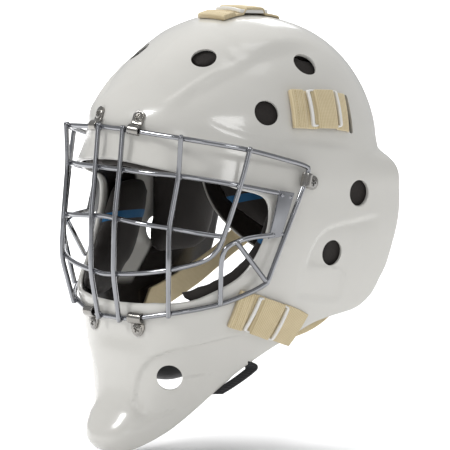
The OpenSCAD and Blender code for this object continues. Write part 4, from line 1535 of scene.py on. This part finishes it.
    def _link(self, node: str, points: list[Point], sides: list[Point], sign: int,
              start: Point, end: Point) -> None:
        """Elastic that crosses from the shell to the back plate and bends with its hinge."""
        skin, faces, uv = ribbon(points, sides, self.link_width, self.thick, 1.5, 10)
        piece = make_object(node.replace("strap_link", "elastic_link"), skin * (sign, 1, 1), faces,
                            self.finishes.cream)
        add_uv(piece, uv)
        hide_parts(node)
        mirror = (sign, 1, 1)
        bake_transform(piece, Body.MASK.value, Body.BACK_PLATE.value,
                 start=tuple(a * b * MM for a, b in zip(start, mirror)),
                 end=tuple(a * b * MM for a, b in zip(end, mirror)))
        LOG.info("%s: blends from mask to back plate", piece.name)

    def build(self) -> None:
        """Makes every strap, frame, stitch, rivet and link."""
        for line in self.lines:
            self._laid(line)
        self._link("crown_strap_link",
                   [(0, 27, 141.5), (0, 40, 134.5), (0, 52, 127.8), (0, 61, 124.8), (0, 71, 118.5), (0, 79.5, 110.5)],
                   [(1, 0, 0)] * 6, 1, (0, 54, 128), (0, 74, 117))
        upper = [(92, 22, 78), (86, 33, 73), (79, 46, 67), (71.4, 58.5, 60.6), (64, 68, 53)]
        upper_across = [(-0.3, 0, 1), (-0.25, 0, 1), (-0.2, 0, 1), (-0.2, 0, 1), (-0.3, 0, 1)]
        lower = [(87, -30, -84), (87.5, -10, -79), (87, 10, -71), (82, 33, -58), (71, 54, -38), (58.5, 69.8, -23)]
        lower_across = [(0, 0.5, 1), (0, 0.3, 1), (0, 0.3, 1), (0, 0.3, 1), (0, 0.2, 1), (0, 0.2, 1)]
        for side in Side:
            self._link(f"upper_strap_link_{side.word}", upper, upper_across, side.value,
                       (88, 30, 75), (71, 60, 60))
            self._link(f"lower_strap_link_{side.word}", lower, lower_across, side.value,
                       (87, 10, -71), (66, 62, -33))
        heads = np.array([(0, -30, 150), (93, -31, 86), (-93, -31, 86), (87, -84, -65), (-87, -84, -65)], float)
        outs = self.shape.normal_at(heads)
        rivets = self.scatter.place("strap_rivet_heads", self.fixings.rivet(),
                                    self.shape.settle(heads, self.lift + self.thick + 0.3),
                                    outs, np.cross(outs, [0.1, 1.0, 0.2]), self.finishes.rivet)
        finish_piece(rivets, Body.MASK, "rivet_steel", "strap_rivets")


# ---- lining --------------------------------------------------------------------------------------


def swell(piece: bpy.types.Object, cap_mm: float, voxel_mm: float = 4.5, pressure: float = 4.0) -> None:
    """Puffs a pad with Blender's cloth and keeps the result.

    Args:
        piece: the pad, a closed mesh.
        cap_mm: how far any point may move.
        voxel_mm: the remesh size.
        pressure: the cloth's inner pressure.
    """
    remesh = piece.modifiers.new("remesh", "REMESH")
    remesh.mode, remesh.voxel_size, remesh.use_smooth_shade = "VOXEL", voxel_mm * MM, True
    apply_modifiers(piece)
    before = coordinates(piece.data)
    moved = before
    cloth = piece.modifiers.new("cloth", "CLOTH")
    cloth.settings.use_pressure = True
    cloth.settings.uniform_pressure_force = pressure
    cloth.settings.effector_weights.gravity = 0
    scene = bpy.context.scene
    for number in range(1, 21):
        scene.frame_set(number)
    graph = bpy.context.evaluated_depsgraph_get()
    moved = coordinates(piece.evaluated_get(graph).data)
    piece.modifiers.clear()
    scene.frame_set(1)
    step = moved - before
    far = np.linalg.norm(step, axis=1, keepdims=True)
    step = step * np.minimum(1, cap_mm * MM / np.maximum(far, 1e-9))
    piece.data.vertices.foreach_set("co", (before + step).ravel())
    relax = piece.modifiers.new("relax", "SMOOTH")
    relax.iterations, relax.factor = 4, 0.5
    finer = piece.modifiers.new("finer", "SUBSURF")
    finer.levels = finer.render_levels = 1
    apply_modifiers(piece)
    piece.data.shade_smooth()


class Edge(Enum):
    """The shell edge that a pad's tilts are counted from."""

    NONE = 0
    FACE = 1
    REAR = 2


@dataclass(frozen=True)
class PadPatch:
    """One foam pad on the shell's inner face, by its span of tilt and turn.

    Its lean slides its front edge forward toward its lower end.
    """

    node: str
    tilts: tuple[float, float]
    turns: tuple[float, float]
    follow: Edge = Edge.NONE
    lean: float = 0.0
    gap: float = 1.0
    mirrored: bool = False
    cap: float = 2.5
    finish: str = "foam"


@dataclass
class Lining:
    """The foam pads inside the shell."""

    shape: MaskShape
    finishes: Finishes
    thick: float = 13.0
    pads: tuple[PadPatch, ...] = (
        PadPatch("brow_pad", (-2, 9.2), (-52, 52), Edge.FACE, gap=2.0, finish="sweatband"),
        PadPatch("crown_pad", (64, 104), (-20, 20)),
        PadPatch("dome_pad", (62, 104), (24, 56), mirrored=True),
        PadPatch("cheek_pad", (-4, 26), (70, 124), Edge.FACE, 4.0, mirrored=True, finish="banded"),
        PadPatch("ear_pad", (-36, -4), (60, 106), Edge.REAR, mirrored=True))

    def _patch(self, pad: PadPatch) -> tuple[np.ndarray, Faces]:
        """The pad's closed shape, a little smaller than its CAD solid."""
        n = 26
        wide = n * 2 if pad.follow is Edge.FACE else n
        u, v = np.meshgrid(np.linspace(-1, 1, n), np.linspace(-1, 1, wide), indexing="ij")
        low, high = pad.tilts
        left, right = pad.turns
        turn = (left + right) / 2 + v * (1 - 0.12 * np.abs(u) ** 4) * (right - left) / 2 * 0.98
        tilt = (low + high) / 2 + u * (1 - 0.12 * np.abs(v) ** 4) * (high - low) / 2 * 0.98
        if pad.follow is Edge.FACE:
            tilt = tilt + self.shape.face_tilt(turn)
        elif pad.follow is Edge.REAR:
            tilt = tilt + self.shape.outer_tilt(turn)
        tilt = tilt - pad.lean * v * (1 - u) / 2
        depth = self.shape.wall + pad.gap
        skin, normal = self.shape.skin(tilt, turn), self.shape.normal(tilt, turn)
        rim = np.maximum(np.abs(u), np.abs(v))
        body = self.thick * (1 - 0.35 * rim ** 6) - 1.6
        outer = skin - normal * (depth + 0.6)
        inner = skin - normal * (depth + 0.6 + body[..., None])
        rings = np.concatenate([outer, inner[::-1]])
        faces = grid_faces(len(rings), rings.shape[1], True, False)
        rows, cols = rings.shape[:2]
        for j in (0, cols - 1):
            for i in range(n - 1):
                k = rows - 1 - i
                quad = (i * cols + j, (i + 1) * cols + j, (k - 1) * cols + j, k * cols + j)
                faces.append(quad if j == 0 else quad[::-1])
        return rings.reshape(-1, 3), faces

    def build(self) -> None:
        """Makes every pad, and mirrors the ones that come in pairs."""
        for pad in self.pads:
            points, faces = self._patch(pad)
            finish = getattr(self.finishes, pad.finish)
            piece = make_object(f"{pad.node}_cushion", points, faces, finish)
            swell(piece, pad.cap)
            held = self.shape.hold_inside(coordinates(piece.data) / MM, self.shape.wall + 0.4)
            piece.data.vertices.foreach_set("co", (held * MM).ravel())
            if not pad.mirrored:
                self._finish(piece, pad.node)
                continue
            twin = piece.copy()
            twin.data = piece.data.copy()
            bpy.context.scene.collection.objects.link(twin)
            twin.data.transform(Matrix.Scale(-1, 4, (1, 0, 0)))
            twin.data.flip_normals()
            for side, half in ((Side.LEFT, piece), (Side.RIGHT, twin)):
                half.name = f"{pad.node}_cushion_{side.word}"
                self._finish(half, f"{pad.node}_{side.word}")

    def _finish(self, piece: bpy.types.Object, node: str) -> None:
        """Puts a pad on the mask."""
        slot = "sweatband" if node == "brow_pad" else "foam_black"
        finish_piece(piece, Body.MASK, slot, node)


# ---- back plate ------------------------------------------------------------------------------------


@dataclass
class BackPlate:
    """The hinged plate behind the head with its vents, pad and rivets."""

    finishes: Finishes
    scatter: Scatter
    fixings: Fixings
    centre: Point = (0.0, 0.0, 30.0)
    half_width: float = 82.0
    reach: float = 112.0
    up: float = 112.0
    down: float = 150.0
    thick: float = 3.5
    span: float = 74.0
    climb: float = 55.0
    drop: float = 47.0
    squareness: float = 2.6
    pad_span: float = 68.0
    pad_climb: float = 42.0
    pad_drop: float = 41.0
    marks: tuple[Point, ...] = ((0, 90, 100), (62, 70, 52), (-62, 70, 52), (58, 74, -24), (-58, 74, -24))

    def _skin(self, swing: np.ndarray, climb: np.ndarray, deep: np.ndarray | float) -> np.ndarray:
        """Points of the plate in a direction from its centre, at a depth."""
        s, c = np.radians(swing), np.radians(climb)
        d = np.stack([np.sin(s) * np.cos(c), np.cos(s) * np.cos(c), np.sin(c)], axis=-1)
        return np.array(self.centre) + d * (self._limit(d) - deep)[..., None]

    def _limit(self, way: np.ndarray) -> np.ndarray:
        """How far the plate's outer face lies from its centre in a direction."""
        tall = np.where(way[..., 2] > 0, self.up, self.down)
        return 1 / np.sqrt((way[..., 0] / self.half_width) ** 2 + (way[..., 1] / self.reach) ** 2
                           + (way[..., 2] / tall) ** 2)

    def _cap(self, span: float, climb: float, drop: float, deep: float, thick: float,
             rings: int = 34, sides: int = 112) -> tuple[np.ndarray, Faces]:
        """An oval plate with a rounded rim and closed middles."""
        angle = np.arange(sides) * 2 * math.pi / sides
        across, rise = (np.sign(f) * np.abs(f) ** (2 / self.squareness) for f in (np.cos(angle), np.sin(angle)))
        rise = rise * np.where(rise > 0, climb, drop)
        shares = [(r, 0.0) for r in np.linspace(0.02, 0.975, rings)]
        for k in range(1, 6):
            a = math.pi * k / 6
            shares.append((0.975 + 0.025 * math.sin(a), (1 - math.cos(a)) / 2))
        shares += [(r, 1.0) for r in np.linspace(0.975, 0.02, rings)]
        skin = np.array([self._skin(span * r * across, rise * r, deep + thick * d) for r, d in shares])
        return loft(skin)

    def _vents(self) -> list[tuple[np.ndarray, Faces]]:
        """Cutters for the plate's air slots."""
        parts = []
        for swing, climb, lean in ((30, 14, 14), (-30, 14, -14), (26, -18, -10), (-26, -18, 10), (0, 28, 90)):
            mid = self._skin(np.array(float(swing)), np.array(float(climb)), 0.0)
            out = unit(mid - np.array(self.centre))
            side = unit(np.cross([0.0, 0.0, 1.0], out))
            tall = np.cross(out, side)
            a = math.radians(lean)
            side, tall = side * math.cos(a) + tall * math.sin(a), tall * math.cos(a) - side * math.sin(a)
            loop = rounded_loop(26.0, 8.0, 3.9, 4)
            loop = np.stack([loop[:, 1] - 4.0, loop[:, 0]], axis=1)
            rings = [mid + side * loop[:, :1] + tall * loop[:, 1:] + out * h for h in (-12.0, 12.0)]
            parts.append(loft(np.array(rings)))
        return parts

    def build(self) -> None:
        """Makes the plate, its pad and its rivets."""
        plate = make_object("back_plate_moulding", *self._cap(self.span, self.climb, self.drop, 0, self.thick),
                            self.finishes.shell)
        cut_away(plate, self._vents())
        d = coordinates(plate.data) / MM - np.array(self.centre)
        # the plate's inner face takes the shell material's painted shade too
        mark_inside(plate, smooth(0.6, 0.9, (self._limit(unit(d)) - np.linalg.norm(d, axis=1)) / self.thick))
        bevel(plate, 0.8, 2, 50)
        plate.data.set_sharp_from_angle(angle=math.radians(40))
        finish_piece(plate, Body.BACK_PLATE, "shell_white", "back_plate")
        points, faces = self._cap(self.pad_span - 0.8, self.pad_climb - 0.8, self.pad_drop - 0.8,
                                  self.thick + 1.6, 8.4, 20, 72)
        pad = make_object("back_plate_cushion", points, faces, self.finishes.banded)
        swell(pad, 2.5)
        co = coordinates(pad.data) / MM
        d = co - np.array(self.centre)
        far = np.linalg.norm(d, axis=1)
        way = unit(d)
        most = self._limit(way) - self.thick - 0.6
        co = np.array(self.centre) + way * np.minimum(far, most)[:, None]
        pad.data.vertices.foreach_set("co", (co * MM).ravel())
        finish_piece(pad, Body.BACK_PLATE, "foam_black", "back_plate_pad")
        marks = np.array(self.marks, float)
        outs = unit(marks - np.array(self.centre))
        tall = np.where(outs[:, 2] > 0, self.up, self.down)
        spots = np.array(self.centre) + outs * (self._limit(outs) + 0.1)[:, None]
        normals = unit((spots - np.array(self.centre)) / np.stack(
            [np.full(5, self.half_width), np.full(5, self.reach), tall], axis=1) ** 2)
        rivets = self.scatter.place("back_plate_rivet_heads", self.fixings.rivet(), spots, normals,
                                    np.cross(normals, [0, 0, 1.0]), self.finishes.rivet)
        finish_piece(rivets, Body.BACK_PLATE, "rivet_steel", "back_plate_rivets")


# ---- chin cup --------------------------------------------------------------------------------------


@dataclass
class ChinCup:
    """The slung chin cup with its liner, pivot pins and webbing slings."""

    shape: MaskShape
    finishes: Finishes
    pivot: Point = (0.0, -84.0, -100.0)
    pin_x: float = 43.0
    pin_radius: float = 3.0
    radius: float = 39.0
    wall: float = 3.0
    length: float = 58.0
    web: float = 2.4

    @property
    def middle(self) -> np.ndarray:
        """The centre of the cup's bowl."""
        return np.array(self.pivot) + np.array([0.0, 0.0, 8.0])

    def _bowl(self, outer: float, inner: float, length: float, height: float,
              rows: int = 40, cols: int = 72) -> tuple[np.ndarray, Faces]:
        """A trough cut from a ball between two planes, with a rounded rim all round."""
        y = np.linspace(-length / 2, length / 2, rows)
        rings = []
        for at in y:
            out, ins = math.sqrt(outer ** 2 - at ** 2), math.sqrt(inner ** 2 - at ** 2)
            top_out = math.pi / 2 + math.asin(min(height / out, 1.0))
            top_in = math.pi / 2 + math.asin(min(height / ins, 1.0))
            phi = np.linspace(-top_out, top_out, cols)
            skin = np.stack([out * np.sin(phi), np.full(cols, at), -out * np.cos(phi)], axis=1)
            phi = np.linspace(top_in, -top_in, cols)
            lining = np.stack([ins * np.sin(phi), np.full(cols, at), -ins * np.cos(phi)], axis=1)
            middle = (out + ins) / 2
            half = (out - ins) / 2
            a = np.radians((30, 60, 90, 120, 150))
            right = np.stack([middle + half * np.cos(a), np.full(5, at), height + half * np.sin(a)], axis=1)
            left = right[::-1] * np.array([-1, 1, 1])
            rings.append(np.concatenate([skin, right, lining, left]))
        rings = np.array(rings)
        ends = []
        for edge, way in ((rings[0], -1.0), (rings[-1], 1.0)):
            centre, bulge = self._midline(edge, cols), way * (outer - inner) / 2
            ends.append(np.array([centre + (edge - centre) * math.cos(a) + (0, bulge * math.sin(a), 0)
                                  for a in np.radians((35, 65, 85))]))
        skin = np.concatenate([ends[0][::-1], rings, ends[1]])
        return loft(skin + self.middle)

    @staticmethod
    def _midline(edge: np.ndarray, cols: int) -> np.ndarray:
        """For each point of a section loop, the middle of the wall it lies on."""
        skin, right = edge[:cols], edge[cols:cols + 5]
        lining, left = edge[cols + 5:2 * cols + 5], edge[2 * cols + 5:]
        wall = (skin + lining[::-1]) / 2
        return np.concatenate([wall, np.repeat(wall[-1:], len(right), axis=0), wall[::-1],
                               np.repeat(wall[:1], len(left), axis=0)])

    def _pins(self) -> tuple[np.ndarray, Faces]:
        """A pivot pin at each side with a low domed end."""
        parts = []
        for sign in (-1, 1):
            points, faces = revolve([(0.05, 7.2), (1.6, 7.1), (2.6, 6.6), (3.0, 5.6), (3.0, -4.5), (0.05, -4.5)],
                                    32)
            turned = np.stack([points[:, 2] * sign, points[:, 1], points[:, 0]], axis=1)
            parts.append((turned + np.array([sign * self.pin_x, self.pivot[1], self.pivot[2]]), faces))
        return join_parts(parts)

    def _tab(self) -> tuple[np.ndarray, Faces]:
        """The sling's flat end, with an eyelet for the pin, as a ring from hole to outline."""
        sides = 72
        angle = np.arange(sides) * 2 * math.pi / sides
        hole = np.stack([np.cos(angle), np.sin(angle)], axis=1) * (self.pin_radius + 0.3)
        reach = []
        for a in angle:
            c, s = math.cos(a), math.sin(a)
            if s > 0:
                far = min(7.0 / max(abs(c), 1e-6), 19.5 / max(s, 1e-6))
                reach.append(max(min(far, 21.0), 9.0 if far < 9.0 else 0.0))
            else:
                reach.append(9.0)
        edge = np.stack([np.cos(angle), np.sin(angle)], axis=1) * np.array(reach)[:, None]
        rings = []
        for flat, x in ((hole, 0.4), (hole * 1.04, 0.0), (edge * 0.97, 0.0), (edge, 0.5), (edge, self.web - 0.5),
                        (edge * 0.97, self.web), (hole * 1.04, self.web), (hole, self.web - 0.4)):
            rings.append(np.stack([np.full(sides, self.pin_x - 1 + x), self.pivot[1] + flat[:, 0],
                                   self.pivot[2] + flat[:, 1]], axis=1))
        return loft(np.array(rings), True)

    def build(self) -> None:
        """Makes the cup, its liner and both slings."""
        cup = make_object("chin_cup_moulding", *join_parts([
            self._bowl(self.radius, self.radius - self.wall, self.length - 2.0, 1.6), self._pins()]),
            self.finishes.cup)
        finish_piece(cup, Body.CHIN_CUP, "cup_black", "chin_cup")
        outer = self.radius - self.wall - 0.8
        liner = make_object("chin_cup_liner", *self._bowl(outer, outer - 5.0, 46.0, -1.6), self.finishes.foam)
        swell(liner, 1.2, 3.5)
        co = coordinates(liner.data) / MM - self.middle
        far = np.linalg.norm(co, axis=1, keepdims=True)
        co = co * np.minimum(1, (outer + 0.4) / far)
        liner.data.vertices.foreach_set("co", ((co + self.middle) * MM).ravel())
        finish_piece(liner, Body.CHIN_CUP, "foam_black", "chin_cup_pad")
        skin, faces, _ = ribbon(
            [(self.pin_x + 0.2, -84, -82), (self.pin_x + 5.5, -83, -79), (60, -80, -84), (69, -76, -94),
             (73.5, -69, -107), (76, -62, -115), (73.5, -65, -120), (67, -78, -129.5), (62, -86, -135)],
            [(0, 1, 0), (0, 1, 0), (0.1, 1, -0.2), (0.3, 1, -0.5), (0.5, 1, -0.7), (0.9, 0.3, 0.1),
             (0.95, 0.3, 0.1), (0.95, 0.35, 0.1), (0.95, 0.35, 0.1)], 11.0, 2.2, 1.2, 8)
        points, faces = join_parts([self._tab(), (skin, faces)])
        for side in Side:
            piece = make_object(f"chin_sling_webbing_{side.word}", points * (side.value, 1, 1), faces,
                                self.finishes.black_web)
            add_uv(piece, coordinates(piece.data)[:, [1, 2]])
            finish_piece(piece, Body.MASK, "webbing_black", f"chin_sling_{side.word}")


# ---- studio ------------------------------------------------------------------------------------


@dataclass
class Studio:
    """Pale floor, soft lights and the camera."""

    azimuth: float = 48.0
    elevation: float = 7.0
    distance: float = 4.0
    frame_width: float = 0.3571
    sensor: float = 36.0
    aim_right: float = -0.01587
    aim_up: float = -0.01587
    floor_z: float = -0.190

    def _axes(self) -> tuple[Vector, Vector, Vector]:
        """The camera's right, up and backward directions."""
        a, e = math.radians(self.azimuth), math.radians(self.elevation)
        back = Vector((math.sin(a) * math.cos(e), -math.cos(a) * math.cos(e), math.sin(e)))
        right = Vector((math.cos(a), math.sin(a), 0.0))
        return right, back.cross(right), back

    def camera(self) -> None:
        """Sets up the camera."""
        right, up, back = self._axes()
        data = bpy.data.cameras.new("camera")
        data.sensor_width = self.sensor
        data.lens = self.sensor * self.distance / self.frame_width
        data.clip_start, data.clip_end = 0.1, 100.0
        camera = bpy.data.objects.new("camera", data)
        bpy.context.scene.collection.objects.link(camera)
        camera.location = right * self.aim_right + up * self.aim_up + back * self.distance
        camera.rotation_mode = "QUATERNION"
        camera.rotation_quaternion = (-back).to_track_quat("-Z", "Y")
        bpy.context.scene.camera = camera

    def _lamp(self, name: str, at: Point, size: float, power: float,
              to: Point = (0.0, 0.0, 0.0)) -> bpy.types.Object:
        """One square soft light aimed at the mask, or at another point."""
        data = bpy.data.lights.new(name, "AREA")
        data.shape, data.size, data.energy = "SQUARE", size, power
        lamp = bpy.data.objects.new(name, data)
        lamp.location = at
        lamp.rotation_mode = "QUATERNION"
        lamp.rotation_quaternion = (Vector(to) - Vector(at)).to_track_quat("-Z", "Y")
        bpy.context.scene.collection.objects.link(lamp)
        return lamp

    def lights(self) -> None:
        """Soft lights on the mask, one on the floor behind it, and a dim surround."""
        self._lamp("key", (-0.9, -1.9, 1.7), 0.6, 24.0)
        self._lamp("side", (2.3, -0.7, 1.3), 0.7, 9.0)
        self._lamp("low", (1.2, -2.4, 0.30), 0.5, 2.0)
        self._lamp("top", (0.3, 0.4, 2.2), 1.0, 4.0)
        self._lamp("back", (-1.6, 1.6, 1.2), 0.8, 6.0)
        backdrop = self._lamp("backdrop", (-2.2, 2.0, 3.0), 4.0, 300.0, (-3.0, 2.7, self.floor_z))
        backdrop.visible_glossy = False
        world = bpy.data.worlds.new("surround")
        bpy.context.scene.world = world
        world.use_nodes = True
        tree = world.node_tree
        tree.nodes.clear()
        light = add_node(tree, "ShaderNodeBackground", inputs={"Color": (0.87, 0.88, 0.9, 1), "Strength": 0.49})
        add_node(tree, "ShaderNodeOutputWorld", inputs={"Surface": light.outputs["Background"]})
        bpy.context.scene.view_settings.view_transform = "Standard"

    def floor(self) -> None:
        """A plain pale floor, wide enough for every view."""
        made, tree, shader = new_finish("pale_studio_floor")
        feed(tree, shader, {
            "Base Color": mixed(tree, noise(tree, place_on(tree), 2500.0), "#FEFEFE", "#FCFCFC"),
            "Roughness": 0.9, "Specular IOR Level": 0.1})
        size = 30000.0
        points = np.array([(-size, -size, 0), (size, -size, 0), (size, size, 0), (-size, size, 0)])
        points[:, 2] = self.floor_z / MM
        floor = make_object("floor", points, [(0, 1, 2, 3)], made, outward=False)

    def build(self) -> None:
        """Makes the camera, the lights and the floor."""
        self.camera()
        self.lights()
        self.floor()


def main() -> None:
    """Builds the whole model in order."""
    logging.basicConfig(level=logging.INFO, format="%(name)s: %(message)s")
    Studio().build()
    shape, finishes = MaskShape(), Finishes()
    scatter, wires = Scatter(), RoundWire()
    Shell(shape, finishes).build()
    Cage(shape, finishes, wires, scatter).build()
    fixings = Fixings(shape, finishes, scatter)
    fixings.build()
    Straps(shape, finishes, scatter, fixings).build()
    Lining(shape, finishes).build()
    BackPlate(finishes, scatter, fixings).build()
    ChinCup(shape, finishes).build()


if __name__ == "__main__":
    main()
